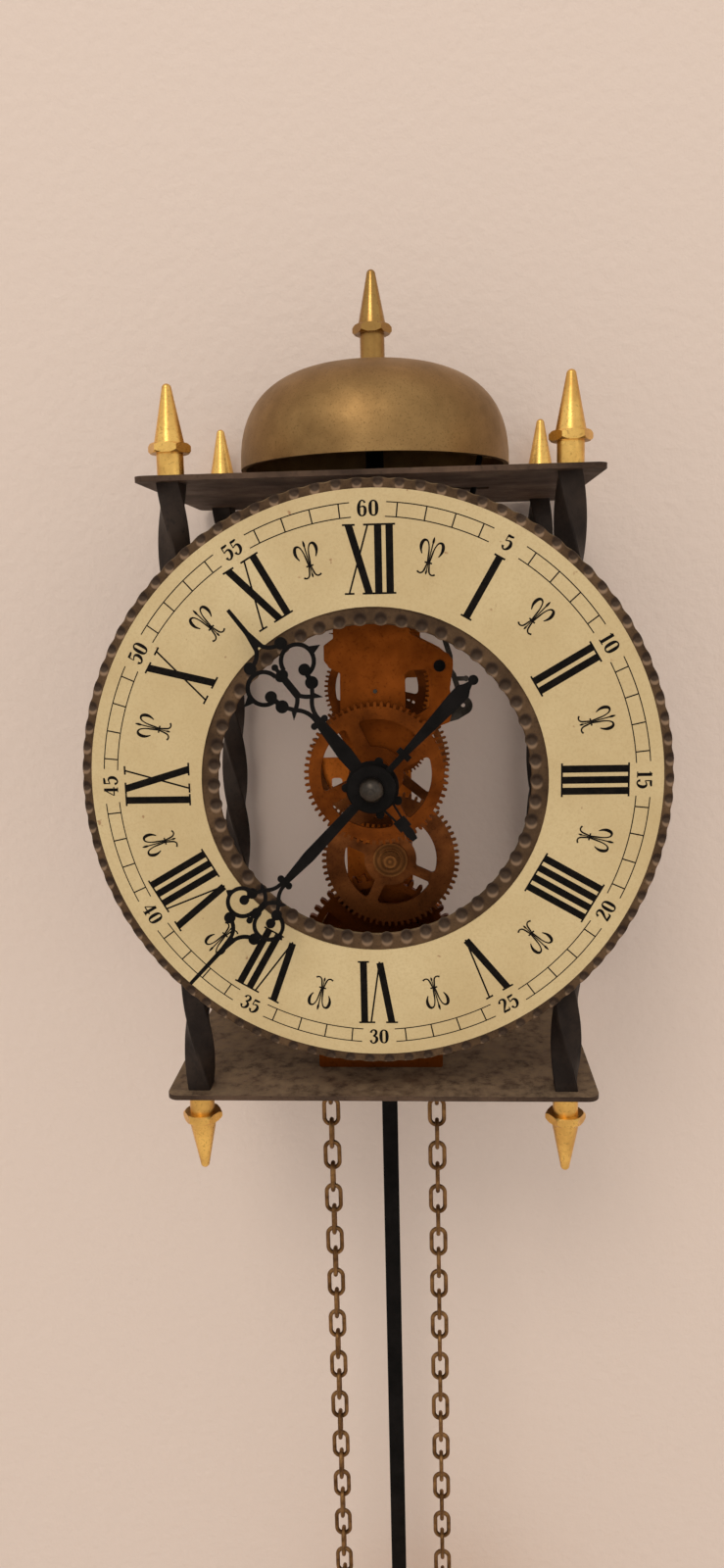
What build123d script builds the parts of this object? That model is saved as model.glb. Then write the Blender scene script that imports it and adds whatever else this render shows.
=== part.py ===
from build123d import *
from math import acos, atan2, cos, degrees, pi, radians, sin, sqrt
import os

# Skeleton wall clock: an iron case of two plates and four twisted pillars, a ring dial, an open
# brass movement, a bell on top, and a chain, a weight and a pendulum below.
# Millimetres. While modelling, X is to the right, Z is up, Y goes back to the wall, and the
# dial's centre is at X = Z = 0 with its printed face at Y = 0. Every node is moved at the end, so that
# the origin is the middle of the eye that the clock hangs by.

# Case
PLATE_WIDTH = 130.8
PLATE_DEPTH = 95.0
PLATE_THICK = 1.5
PLATE_CORNER = 3.5
PLATE_FRONT = 2.0
CASE_TOP = 86.7
CASE_HEIGHT = 184.2
PILLAR_INSET_SIDE = 9.4
PILLAR_INSET_FRONT = 7.0
PILLAR_FLATS = 6.8
PILLAR_EDGE = 0.5
QUARTER_TURN_RISE = 25.5

# Finials
FINIAL_STEM = 6.5
FINIAL_STEM_RADIUS = 3.8
FINIAL_HEX_THICK = 2.7
FINIAL_HEX_FLATS = 10.6
FINIAL_HEX_CHAMFER = 0.7
FINIAL_CONE = 16.3
FINIAL_CONE_RADIUS = 4.3
FINIAL_TIP_RADIUS = 1.4
BELL_FINIAL_STEM = 9.6
STUD_RADIUS = 2.0
STUD_LENGTH = 9.0
STUD_CLEARANCE = 0.05

# Bell
BELL_RADIUS = 42.0
BELL_HEIGHT = 30.75
BELL_SIDE_POWER = 3.0
BELL_CROWN_POWER = 2.49
BELL_WALL = 1.6
BELL_RIM_ABOVE_PLATE = 5.47
BELL_POST_RADIUS = 2.8
BELL_SHOULDER_RADIUS = 6.0
BELL_SHOULDER = 2.0
BELL_SHOULDER_DROP = 0.4

# Dial
DIAL_OUTER = 84.2
DIAL_OPENING = 45.0
IRON_THICK = 1.5
CHAPTER_OUTER = 81.5
CHAPTER_INNER = 49.5
CHAPTER_THICK = 0.5
RIM_BUMPS = 90
RIM_BUMP_RADIUS = 2.2
RIM_BUMP_RISE = 0.9
INNER_BUMPS = 50
INNER_BUMP_RISE = 0.6
DIAL_STUD_HEIGHT = 40.0
DIAL_STUD_RADIUS = 1.5

# Movement plates, by depth
FRONT_PLATE_Y = 20.0
MOVEMENT_PLATE_THICK = 1.5
BRIDGE_Y = 23.0
BACK_PLATE_Y = 48.0
MOVEMENT_PILLAR_RADIUS = 2.5
MOVEMENT_PILLAR_NECK = 1.6
FRONT_SCREW_RADIUS = 1.75
BACK_SCREW_RADIUS = 2.3
SCREW_HEAD_THICK = 0.9
PIVOT_CLEARANCE = 0.06
BLIND_HOLE_FLOOR = 0.5
RUNNING_CLEARANCE = 0.06

# Wheels: teeth and modules
WHEEL_TEETH = 66
CENTRE_MODULE = 0.64
CENTRE_PINION_TEETH = 26
CENTRE_WHEEL_TEETH = 76
THIRD_HEIGHT = 24.42
THIRD_PINION_TEETH = 8
THIRD_MODULE = 0.48
ESCAPE_PINION_TEETH = 7
GREAT_TEETH = 48
GREAT_MODULE = 1.0
GREAT_PINION_TEETH = 14
CANNON_TEETH = 12
MINUTE_TEETH = 36
MINUTE_MODULE = 0.4
MINUTE_PINION_TEETH = 10
HOUR_TEETH = 40
MINUTE_WHEEL_ANGLE = 40.0
ESCAPE_TEETH = 30
ESCAPE_RADIUS = 11.8
ESCAPE_SPAN = 7.5
INTERMEDIATE_X = 3.3
GREAT_X = -1.0
ESCAPE_X = -3.0
WHEEL_THICK = 1.2
GREAT_WHEEL_THICK = 2.5

# Depth of each layer of the movement, front face
DIAL_WHEEL_LAYER = 16.0
HOUR_LAYER = 22.0
CANNON_LAYER = 23.4
CENTRE_PINION_LAYER = 27.6
INTERMEDIATE_LAYER = 28.6
THIRD_LAYER = 31.0
GREAT_LAYER = 33.0
ESCAPE_LAYER = 36.0
CHAIN_LAYER = 41.0
CENTRE_BEFORE_PLATE = 3.0
LEVER_BEFORE_CENTRE = 2.4
HAMMER_BEFORE_PLATE = 1.5
CRUTCH_BEHIND_PLATE = 1.5
PENDULUM_BEHIND_CRUTCH = 16.0

# Arbors
CENTRE_ARBOR_RADIUS = 1.2
CANNON_PIPE_RADIUS = 1.9
HOUR_PIPE_BORE = 2.05
HOUR_PIPE_RADIUS = 2.8
STUD_I_RADIUS = 2.0
MINUTE_STUD_RADIUS = 0.7
HUB_RADIUS = 3.2
GREAT_ARBOR_RADIUS = 2.5
SLIM_ARBOR_RADIUS = 1.2
PIVOT_RADIUS = 0.6
ESCAPE_PIVOT_RADIUS = 0.5
GREAT_PIVOT_RADIUS = 1.4

# Hands
HOUR_HAND_ANGLE = 322.2
MINUTE_HAND_ANGLE = 223.6
HOUR_HAND_BACK = -7.2
MINUTE_HAND_BACK = -9.9
HAND_THICK = 0.7
DISC_RADIUS = 6.6
DISC_THICK = 0.6
NUT_RADIUS = 3.5
NUT_HEIGHT = 4.4
ARBOR_TIP_RADIUS = 0.8
ARBOR_TIP_LENGTH = 1.0

# Chain, drive and weight
LINK_PITCH = 8.0
LINK_WIDTH = 6.2
LINK_WIRE = 1.44
LINK_PLAY = 0.05
LINKS_ROUND_WHEEL = 14
STRAND_LINKS = 33
WEIGHT_RADIUS = 18.0
WEIGHT_LENGTH = 96.0
WEIGHT_CAP = 4.0
HOOK_RING_RADIUS = 3.4
HOOK_WIRE = 1.8
PULL_RING_RADIUS = 9.0
PULL_RING_WIRE = 1.8

# Pendulum
PENDULUM_LENGTH = 446.0
ROD_WIDTH = 5.6
ROD_THICK = 1.2
BOB_RADIUS = 27.0
BOB_THICK = 9.0
PENDULUM_SWING = 2.5
PALLET_GAP = 0.65
ARM_ABOVE_PIVOT = 4.0
ARM_HEIGHT = 5.0
ARM_BEYOND_ROD = 5.0
CRUTCH_LENGTH = 38.0

# Hammer
HAMMER_X = 23.0
HAMMER_Z = 47.5
HAMMER_HEAD_RADIUS = 3.5
HAMMER_HEAD_LENGTH = 8.0
HAMMER_HEAD_HEIGHT = 11.5
HAMMER_GAP = 0.8
LIFT_PIN_CIRCLE = 20.3
LIFT_PIN_RADIUS = 0.8
LIFT_PIN_LENGTH = 1.0

# Wall fixing
STRAP_THICK = 1.5
STRAP_WIDTH = 30.0
STRAP_DROP = 20.0
EYE_RADIUS = 4.0
EYE_BELOW_PLATE = 11.2
SPACER_RADIUS = 4.0

# Slots of the bottom plate
CHAIN_HOLE_RADIUS = 6.5
ROD_SLOT_MARGIN = 2.0
ROD_SLOT_DEPTH = 7.0

# Worked out from the values above
CASE_BOTTOM = CASE_TOP - CASE_HEIGHT
UPPER_INSIDE = CASE_TOP - PLATE_THICK
LOWER_INSIDE = CASE_BOTTOM + PLATE_THICK
PLATE_MID = PLATE_FRONT + PLATE_DEPTH / 2
PLATE_BACK = PLATE_FRONT + PLATE_DEPTH
PILLAR_X = PLATE_WIDTH / 2 - PILLAR_INSET_SIDE
PILLAR_FRONT = PLATE_FRONT + PILLAR_INSET_FRONT
PILLAR_BACK = PLATE_BACK - PILLAR_INSET_FRONT
IRON_FRONT = PLATE_FRONT - IRON_THICK
CHAPTER_FRONT = IRON_FRONT - CHAPTER_THICK
BELL_RIM = CASE_TOP + BELL_RIM_ABOVE_PLATE
BELL_TOP = BELL_RIM + BELL_HEIGHT
EYE_Y = PLATE_BACK + STRAP_THICK / 2
EYE_Z = UPPER_INSIDE - EYE_BELOW_PLATE
BACK_PLATE_BACK = BACK_PLATE_Y + MOVEMENT_PLATE_THICK
FRONT_PLATE_BACK = FRONT_PLATE_Y + MOVEMENT_PLATE_THICK
CENTRE_LAYER = BACK_PLATE_Y - CENTRE_BEFORE_PLATE
LEVER_LAYER = CENTRE_LAYER - LEVER_BEFORE_CENTRE
HAMMER_LAYER = BACK_PLATE_Y - HAMMER_BEFORE_PLATE
CRUTCH_LAYER = BACK_PLATE_BACK + CRUTCH_BEHIND_PLATE
PENDULUM_LAYER = CRUTCH_LAYER + PENDULUM_BEHIND_CRUTCH
ARM_END = PENDULUM_LAYER + ARM_BEYOND_ROD
BRIDGE_BACK = BRIDGE_Y + MOVEMENT_PLATE_THICK


def below(start, distance, x):
    """The point at x that lies a given distance from start, on its lower side."""
    return x, start[1] - sqrt(distance**2 - (x - start[0]) ** 2)


def above(start, distance, x):
    return x, start[1] + sqrt(distance**2 - (x - start[0]) ** 2)


def bearing(start, end):
    """Direction from one centre to another in the dial's plane, in degrees from +X."""
    return degrees(atan2(end[1] - start[1], end[0] - start[0]))


MINUTE_CENTRES = MINUTE_MODULE * (CANNON_TEETH + MINUTE_TEETH) / 2
HOUR_MODULE = 2 * MINUTE_CENTRES / (MINUTE_PINION_TEETH + HOUR_TEETH)
CENTRE = (0.0, 0.0)
INTERMEDIATE = below(CENTRE, CENTRE_MODULE * (WHEEL_TEETH + CENTRE_PINION_TEETH) / 2, INTERMEDIATE_X)
GREAT = below(INTERMEDIATE, GREAT_MODULE * (GREAT_TEETH + GREAT_PINION_TEETH) / 2, GREAT_X)
CENTRE_WHEEL_MODULE = 2 * THIRD_HEIGHT / (CENTRE_WHEEL_TEETH + THIRD_PINION_TEETH)
THIRD = (0.0, THIRD_HEIGHT)
ESCAPE = above(THIRD, THIRD_MODULE * (WHEEL_TEETH + ESCAPE_PINION_TEETH) / 2, ESCAPE_X)
PALLET_HALF_ANGLE = ESCAPE_SPAN * 180 / ESCAPE_TEETH
ANCHOR_DISTANCE = ESCAPE_RADIUS / cos(radians(PALLET_HALF_ANGLE))
ANCHOR = above(ESCAPE, ANCHOR_DISTANCE, 0.0)
MINUTE_WHEEL = (
    MINUTE_CENTRES * cos(radians(MINUTE_WHEEL_ANGLE)),
    MINUTE_CENTRES * sin(radians(MINUTE_WHEEL_ANGLE)),
)
HAMMER = (HAMMER_X, HAMMER_Z)
CHAIN_RADIUS = LINK_PITCH / 2 / sin(pi / LINKS_ROUND_WHEEL)
WEIGHT_STRAND_X = GREAT[0] + CHAIN_RADIUS
FREE_STRAND_X = GREAT[0] - CHAIN_RADIUS
LINK_LENGTH = LINK_PITCH + 2 * LINK_WIRE + LINK_PLAY
STRAND_END = GREAT[1] - STRAND_LINKS * LINK_PITCH
HOOK_CONTACT = STRAND_END - (LINK_LENGTH - LINK_PITCH) / 2 + LINK_WIRE / 2

nodes = {}


def node(name, *solids):
    """Keep a named piece; several solids stay separate inside one node."""
    shapes = [s for shape in solids for s in shape.solids()]
    nodes[name] = shapes[0] if len(shapes) == 1 else Compound(children=shapes)
    return nodes[name]


def facing(y):
    """A plane across the depth axis: sketch X is right, sketch Y is up, its normal points forward."""
    return Plane(origin=(0, y, 0), x_dir=(1, 0, 0), z_dir=(0, -1, 0))


def slab(sketch, front, back):
    """A flat piece cut to a sketch, from the front depth to the back depth."""
    return extrude(facing(back) * sketch, back - front)


def disc(centre, radius, front, back, bore=0.0):
    face = Circle(radius) - Circle(bore) if bore else Circle(radius)
    return slab(Pos(*centre) * face, front, back)


def polygon(*points):
    return make_face(Polyline(*points, close=True))


def post(x, y, radius, low, high, bore=0.0):
    """An upright cylinder."""
    face = Circle(radius) - Circle(bore) if bore else Circle(radius)
    return extrude(Plane(origin=(x, y, low)) * face, high - low)


# Case

def case_plate(low):
    outline = RectangleRounded(PLATE_WIDTH, PLATE_DEPTH, PLATE_CORNER)
    plate = extrude(Plane(origin=(0, PLATE_MID, low)) * outline, PLATE_THICK)
    for x, y in pillar_places():
        plate -= post(x, y, STUD_RADIUS + STUD_CLEARANCE, low - 1, low + PLATE_THICK + 1)
    return plate


def pillar_places():
    return [(sx * PILLAR_X, y) for y in (PILLAR_FRONT, PILLAR_BACK) for sx in (-1, 1)]


def twisted_pillar():
    """A square bar twisted about its own length, with a stud hole in each end."""
    height = UPPER_INSIDE - LOWER_INSIDE
    section = fillet(Rectangle(PILLAR_FLATS, PILLAR_FLATS).vertices(), PILLAR_EDGE)
    turn = -90 * height / QUARTER_TURN_RISE
    bar = Solid.extrude_linear_with_rotation(section.face(), (0, 0, 0), (0, 0, height), turn)
    hole = STUD_LENGTH - PLATE_THICK + 0.5
    bar -= post(0, 0, STUD_RADIUS + STUD_CLEARANCE, -1, hole)
    bar -= post(0, 0, STUD_RADIUS + STUD_CLEARANCE, height - hole, height + 1)
    return bar


def finial(stem):
    """A brass finial standing on z = 0, its stud reaching down from there."""
    hex_low = stem
    hex_high = hex_low + FINIAL_HEX_THICK
    tip = hex_high + FINIAL_CONE
    corner = FINIAL_HEX_FLATS / 2 / cos(pi / 6)
    hexagon = extrude(Plane(origin=(0, 0, hex_low)) * RegularPolygon(corner, 6), FINIAL_HEX_THICK)
    turned = Plane.XZ * polygon(
        (0, hex_low), (corner - FINIAL_HEX_CHAMFER, hex_low), (corner, hex_low + FINIAL_HEX_CHAMFER),
        (corner, hex_high - FINIAL_HEX_CHAMFER), (corner - FINIAL_HEX_CHAMFER, hex_high), (0, hex_high))
    hexagon &= revolve(turned, Axis.Z)
    shoulder = tip - FINIAL_TIP_RADIUS
    profile = Plane.XZ * make_face(
        Line((0, 0), (FINIAL_STEM_RADIUS, 0))
        + Line((FINIAL_STEM_RADIUS, 0), (FINIAL_STEM_RADIUS, hex_high))
        + Line((FINIAL_STEM_RADIUS, hex_high), (FINIAL_CONE_RADIUS, hex_high))
        + Line((FINIAL_CONE_RADIUS, hex_high), (FINIAL_TIP_RADIUS, shoulder))
        + CenterArc((0, shoulder), FINIAL_TIP_RADIUS, 0, 90)
        + Line((0, tip), (0, 0)))
    body = revolve(profile, Axis.Z) + hexagon
    return body + post(0, 0, STUD_RADIUS, -STUD_LENGTH, 0.1)


def bell_point(angle):
    """A point on the bell's outline, a full dome: on the rim at 0 degrees, on the crown at 90."""
    across = cos(radians(angle)) ** (2 / BELL_SIDE_POWER)
    up = sin(radians(angle)) ** (2 / BELL_CROWN_POWER)
    return BELL_RADIUS * across, BELL_RIM + BELL_HEIGHT * up


def bell_shell():
    outer = [bell_point(angle) for angle in (0, 8, 20, 34, 48, 62, 74, 84)] + [(0, BELL_TOP)]
    inner_height = (BELL_HEIGHT - BELL_WALL) / BELL_HEIGHT
    inner_width = (BELL_RADIUS - BELL_WALL) / BELL_RADIUS
    inner = [(r * inner_width, BELL_RIM + (z - BELL_RIM) * inner_height) for r, z in outer]
    skins = [Spline(*points, tangents=[(0, 1), (-1, 0)]) for points in (outer, inner)]
    profile = make_face(
        skins[0] + Line(outer[-1], inner[-1]) + skins[1] + Line(inner[0], outer[0]))
    shell = revolve(Plane(origin=(0, PLATE_MID, 0), x_dir=(1, 0, 0), z_dir=(0, -1, 0)) * profile,
                    Axis((0, PLATE_MID, 0), (0, 0, 1)))
    return shell - post(0, PLATE_MID, STUD_RADIUS + STUD_CLEARANCE, BELL_RIM, BELL_TOP + 1)


def make_case():
    top = case_plate(UPPER_INSIDE)
    top -= post(0, PLATE_MID, STUD_RADIUS + STUD_CLEARANCE, UPPER_INSIDE - 1, CASE_TOP + 1)
    slot_mid = hammer_rod_x(CASE_TOP) - 3.0
    top -= Pos(slot_mid, HAMMER_LAYER, CASE_TOP) * Box(15, 6, 4 * PLATE_THICK)
    node("top_plate", top)
    bottom = case_plate(CASE_BOTTOM)
    for x in (WEIGHT_STRAND_X, FREE_STRAND_X):
        bottom -= post(x, CHAIN_LAYER, CHAIN_HOLE_RADIUS, CASE_BOTTOM - 1, LOWER_INSIDE + 1)
    reach = (ANCHOR[1] - CASE_BOTTOM) * sin(radians(PENDULUM_SWING))
    slot = ROD_WIDTH + 2 * (reach + ROD_SLOT_MARGIN)
    bottom -= Pos(0, PENDULUM_LAYER, CASE_BOTTOM) * Box(slot, ROD_SLOT_DEPTH, 4 * PLATE_THICK)
    node("bottom_plate", bottom)
    bar = twisted_pillar()
    front = []
    for sx in (-1, 1):
        pillar = Pos(sx * PILLAR_X, PILLAR_FRONT, LOWER_INSIDE) * bar
        for z in (-DIAL_STUD_HEIGHT, DIAL_STUD_HEIGHT):
            pillar -= disc((sx * PILLAR_X, z), DIAL_STUD_RADIUS + STUD_CLEARANCE, 0, PILLAR_FRONT)
        front.append(pillar)
    node("front_pillars", *front)
    node("rear_pillars", *[Pos(sx * PILLAR_X, PILLAR_BACK, LOWER_INSIDE) * bar for sx in (-1, 1)])
    one = finial(FINIAL_STEM)
    upper = [Pos(x, y, CASE_TOP) * one for x, y in pillar_places()]
    lower = [Pos(x, y, CASE_BOTTOM) * Rot(180, 0, 0) * one for x, y in pillar_places()]
    node("finials", *upper, *lower, Pos(0, PLATE_MID, BELL_TOP) * finial(BELL_FINIAL_STEM))


def make_bell():
    node("bell", bell_shell())
    shoulder_top = BELL_TOP - BELL_WALL - BELL_SHOULDER_DROP
    rod = post(0, PLATE_MID, BELL_POST_RADIUS, CASE_TOP, shoulder_top)
    rod += post(0, PLATE_MID, BELL_SHOULDER_RADIUS, shoulder_top - BELL_SHOULDER, shoulder_top)
    rod += post(0, PLATE_MID, BELL_SHOULDER_RADIUS, CASE_TOP, CASE_TOP + BELL_SHOULDER)
    rod += post(0, PLATE_MID, STUD_RADIUS, UPPER_INSIDE, CASE_TOP)
    rod -= post(0, PLATE_MID, STUD_RADIUS + STUD_CLEARANCE, shoulder_top - STUD_LENGTH + 1.5, shoulder_top + 1)
    node("bell_post", rod)


# Dial

def make_dial():
    """The iron ring's two edges are hammered into rows of small bumps."""
    outer = Circle(DIAL_OUTER - RIM_BUMP_RISE / 2)
    outer += PolarLocations(DIAL_OUTER + RIM_BUMP_RISE / 2 - RIM_BUMP_RADIUS, RIM_BUMPS) * Circle(
        RIM_BUMP_RADIUS)
    opening = Circle(DIAL_OPENING + INNER_BUMP_RISE / 2)
    opening -= PolarLocations(DIAL_OPENING - INNER_BUMP_RISE / 2 + RIM_BUMP_RADIUS, INNER_BUMPS) * Circle(
        RIM_BUMP_RADIUS)
    ring = slab(outer - opening, IRON_FRONT, PLATE_FRONT)
    places = [(sx * PILLAR_X, sz * DIAL_STUD_HEIGHT) for sx in (-1, 1) for sz in (-1, 1)]
    node("dial_ring", ring)
    node("chapter_ring", slab(Circle(CHAPTER_OUTER) - Circle(CHAPTER_INNER), CHAPTER_FRONT, IRON_FRONT))
    node("dial_studs", *[disc(p, DIAL_STUD_RADIUS, PLATE_FRONT, PILLAR_FRONT - 0.5) for p in places])


# Toothed wheels

def tooth_outline(teeth, module, toward, leaf=False):
    """Points round a toothed wheel with one tooth pointing at the angle given, in degrees."""
    pitch_radius = module * teeth / 2
    pitch = pi * module
    at_pitch, at_tip = (0.40, 0.18) if leaf else (0.46, 0.20)
    addendum, dedendum = (0.75, 1.35) if leaf else (0.95, 1.25)
    root = pitch_radius - dedendum * module
    tip = pitch_radius + addendum * module
    swell = pitch_radius + 0.55 * addendum * module
    half = [at_pitch * pitch / 2 / pitch_radius, at_tip * pitch / 2 / tip]
    flank = [
        (root, half[0]),
        (pitch_radius, half[0]),
        (swell, 0.62 * half[0] + 0.38 * half[1]),
        (tip, half[1]),
    ]
    points = []
    for tooth in range(teeth):
        middle = radians(toward) + 2 * pi * tooth / teeth
        for radius, width in flank:
            points.append((radius * cos(middle - width), radius * sin(middle - width)))
        for radius, width in reversed(flank):
            points.append((radius * cos(middle + width), radius * sin(middle + width)))
    return polygon(*points)


def windows(rim, hub, spokes, spoke_width, first, corner=1.0):
    """The openings between a wheel's rim, its spokes and its hub."""
    gaps = Circle(rim) - Circle(hub)
    for k in range(spokes):
        gaps -= Rot(0, 0, first + 360 * k / spokes) * Pos((rim + hub) / 2, 0) * Rectangle(rim, spoke_width)
    return fillet(gaps.vertices(), corner)


def wheel(teeth, module, toward, centre, front, thick, bore, crossing=None):
    face = tooth_outline(teeth, module, toward)
    if crossing:
        face -= windows(*crossing)
    return slab(Pos(*centre) * (face - Circle(bore)), front, front + thick)


def pinion(teeth, module, toward, centre, front, back, bore):
    face = tooth_outline(teeth, module, toward, leaf=True)
    return slab(Pos(*centre) * (face - Circle(bore)), front, back)


def gap_toward(centre, partner, teeth):
    """A tooth direction that leaves a gap pointing at the partner wheel."""
    return bearing(centre, partner) + 180 / teeth


def arbor(centre, radius, front, back, front_pivot, back_pivot):
    """A turned shaft with a thinner pivot in each plate."""
    shaft = disc(centre, radius, front_pivot[1], back_pivot[0])
    shaft += disc(centre, front_pivot[2], front, front_pivot[1])
    return shaft + disc(centre, back_pivot[2], back_pivot[0], back)


def plain_arbor(centre, radius, pivot, start=FRONT_PLATE_Y, back=BACK_PLATE_BACK):
    return arbor(centre, radius, start, back, (start, start + MOVEMENT_PLATE_THICK + 0.2, pivot),
                 (BACK_PLATE_Y - 0.2, back, pivot))


def make_train():
    collar = 1.5
    centre = wheel(CENTRE_WHEEL_TEETH, CENTRE_WHEEL_MODULE, bearing(CENTRE, THIRD), CENTRE, CENTRE_LAYER,
                   WHEEL_THICK, CENTRE_ARBOR_RADIUS, (19.2, 5.0, 4, 3.0, 50))
    centre += disc(CENTRE, 4.0, CENTRE_LAYER - collar, CENTRE_LAYER, CENTRE_ARBOR_RADIUS)
    for angle in (100, 280):
        pin = (LIFT_PIN_CIRCLE * cos(radians(angle)), LIFT_PIN_CIRCLE * sin(radians(angle)))
        centre += disc(pin, LIFT_PIN_RADIUS, CENTRE_LAYER - LIFT_PIN_LENGTH, CENTRE_LAYER)
    node("centre_wheel", centre)
    pinion_back = INTERMEDIATE_LAYER + WHEEL_THICK + 0.6
    node("centre_pinion",
         pinion(CENTRE_PINION_TEETH, CENTRE_MODULE, bearing(CENTRE, INTERMEDIATE), CENTRE,
                CENTRE_PINION_LAYER, pinion_back, CENTRE_ARBOR_RADIUS)
         + disc(CENTRE, 4.0, pinion_back, pinion_back + collar, CENTRE_ARBOR_RADIUS))
    nut_front = MINUTE_HAND_BACK - HAND_THICK - DISC_THICK - NUT_HEIGHT
    step = nut_front + ARBOR_TIP_LENGTH
    node("centre_arbor", disc(CENTRE, CENTRE_ARBOR_RADIUS, step, BACK_PLATE_BACK)
         + disc(CENTRE, ARBOR_TIP_RADIUS, nut_front - 0.5, step))

    node("intermediate_wheel",
         wheel(WHEEL_TEETH, CENTRE_MODULE, gap_toward(INTERMEDIATE, CENTRE, WHEEL_TEETH), INTERMEDIATE,
               INTERMEDIATE_LAYER, WHEEL_THICK, HUB_RADIUS, (14.5, 8.2, 4, 3.2, 65)))
    hub_bore = STUD_I_RADIUS + RUNNING_CLEARANCE
    great_back = GREAT_LAYER + GREAT_WHEEL_THICK
    pinion_start = INTERMEDIATE_LAYER + WHEEL_THICK
    low_pinion = pinion(GREAT_PINION_TEETH, GREAT_MODULE, bearing(INTERMEDIATE, GREAT), INTERMEDIATE,
                        GREAT_LAYER - 0.8, great_back + 0.8, hub_bore)
    low_pinion += disc(INTERMEDIATE, 4.2, pinion_start, GREAT_LAYER - 0.8, hub_bore)
    low_pinion += disc(INTERMEDIATE, HUB_RADIUS, INTERMEDIATE_LAYER, pinion_start, hub_bore)
    low_pinion += disc(INTERMEDIATE, 5.4, INTERMEDIATE_LAYER - 0.7, INTERMEDIATE_LAYER, hub_bore)
    low_pinion += disc(INTERMEDIATE, 3.6, INTERMEDIATE_LAYER - 1.5, INTERMEDIATE_LAYER - 0.7, hub_bore)
    node("intermediate_pinion", low_pinion)
    clip_front = INTERMEDIATE_LAYER - 2.3
    stud = disc(INTERMEDIATE, STUD_I_RADIUS, clip_front - 0.9, BACK_PLATE_BACK)
    stud += disc(INTERMEDIATE, 3.6, great_back + 1.0, BACK_PLATE_Y)
    node("intermediate_stud", stud)
    clip = Circle(3.1) - Circle(STUD_I_RADIUS) - Pos(0, -2.5) * Rectangle(2.2, 5)
    node("retaining_clip", slab(Pos(*INTERMEDIATE) * clip, clip_front, clip_front + 0.6))

    node("great_wheel",
         wheel(GREAT_TEETH, GREAT_MODULE, gap_toward(GREAT, INTERMEDIATE, GREAT_TEETH), GREAT, GREAT_LAYER,
               GREAT_WHEEL_THICK, GREAT_ARBOR_RADIUS, (20.5, 14.8, 4, 4.5, 45)))
    node("great_arbor",
         arbor(GREAT, GREAT_ARBOR_RADIUS, BRIDGE_Y, BACK_PLATE_BACK,
               (BRIDGE_Y, BRIDGE_BACK + 0.2, GREAT_PIVOT_RADIUS),
               (BACK_PLATE_Y - 0.2, BACK_PLATE_BACK, GREAT_PIVOT_RADIUS)))

    third_bore = SLIM_ARBOR_RADIUS
    node("third_wheel",
         wheel(WHEEL_TEETH, THIRD_MODULE, bearing(THIRD, ESCAPE), THIRD, THIRD_LAYER, 1.0, third_bore,
               (12.8, 4.2, 5, 2.0, -14)))
    third = plain_arbor(THIRD, SLIM_ARBOR_RADIUS, PIVOT_RADIUS)
    third += disc(THIRD, 2.6, THIRD_LAYER + 1.0, THIRD_LAYER + 1.0 + collar, third_bore)
    third += pinion(THIRD_PINION_TEETH, CENTRE_WHEEL_MODULE, gap_toward(THIRD, CENTRE, THIRD_PINION_TEETH),
                    THIRD, CENTRE_LAYER - 0.8, CENTRE_LAYER + WHEEL_THICK + 0.6, third_bore - 0.3)
    node("third_pinion", third)

    escape_bore = 0.9
    node("escape_wheel", escape_wheel(escape_bore))
    blind = FRONT_PLATE_Y + BLIND_HOLE_FLOOR
    escape = arbor(ESCAPE, 0.7, blind + PIVOT_CLEARANCE, BACK_PLATE_BACK,
                   (blind, FRONT_PLATE_BACK + 0.2, ESCAPE_PIVOT_RADIUS),
                   (BACK_PLATE_Y - 0.2, BACK_PLATE_BACK, ESCAPE_PIVOT_RADIUS))
    escape += disc(ESCAPE, escape_bore, THIRD_LAYER + 1.8, ESCAPE_LAYER + 1.4)
    node("escape_pinion",
         escape + pinion(ESCAPE_PINION_TEETH, THIRD_MODULE, gap_toward(ESCAPE, THIRD, ESCAPE_PINION_TEETH),
                         ESCAPE, THIRD_LAYER - 0.8, THIRD_LAYER + 1.8, 0.4))


def escape_wheel(bore):
    """Pointed teeth that lean forward, clockwise as seen from the dial."""
    root = ESCAPE_RADIUS - 2.2
    step = 2 * pi / ESCAPE_TEETH
    points = []
    for tooth in range(ESCAPE_TEETH):
        at = -tooth * step
        points.append((root * cos(at + 0.42 * step), root * sin(at + 0.42 * step)))
        points.append((ESCAPE_RADIUS * cos(at + 0.08 * step), ESCAPE_RADIUS * sin(at + 0.08 * step)))
        points.append((ESCAPE_RADIUS * cos(at), ESCAPE_RADIUS * sin(at)))
        points.append((root * cos(at + 0.06 * step), root * sin(at + 0.06 * step)))
    face = polygon(*points) - windows(root - 1.6, 3.0, 4, 1.6, 20, 0.6)
    return slab(Pos(*ESCAPE) * (face - Circle(bore)), ESCAPE_LAYER, ESCAPE_LAYER + 1.0)


# Chain wheel, ratchet and click

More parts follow.
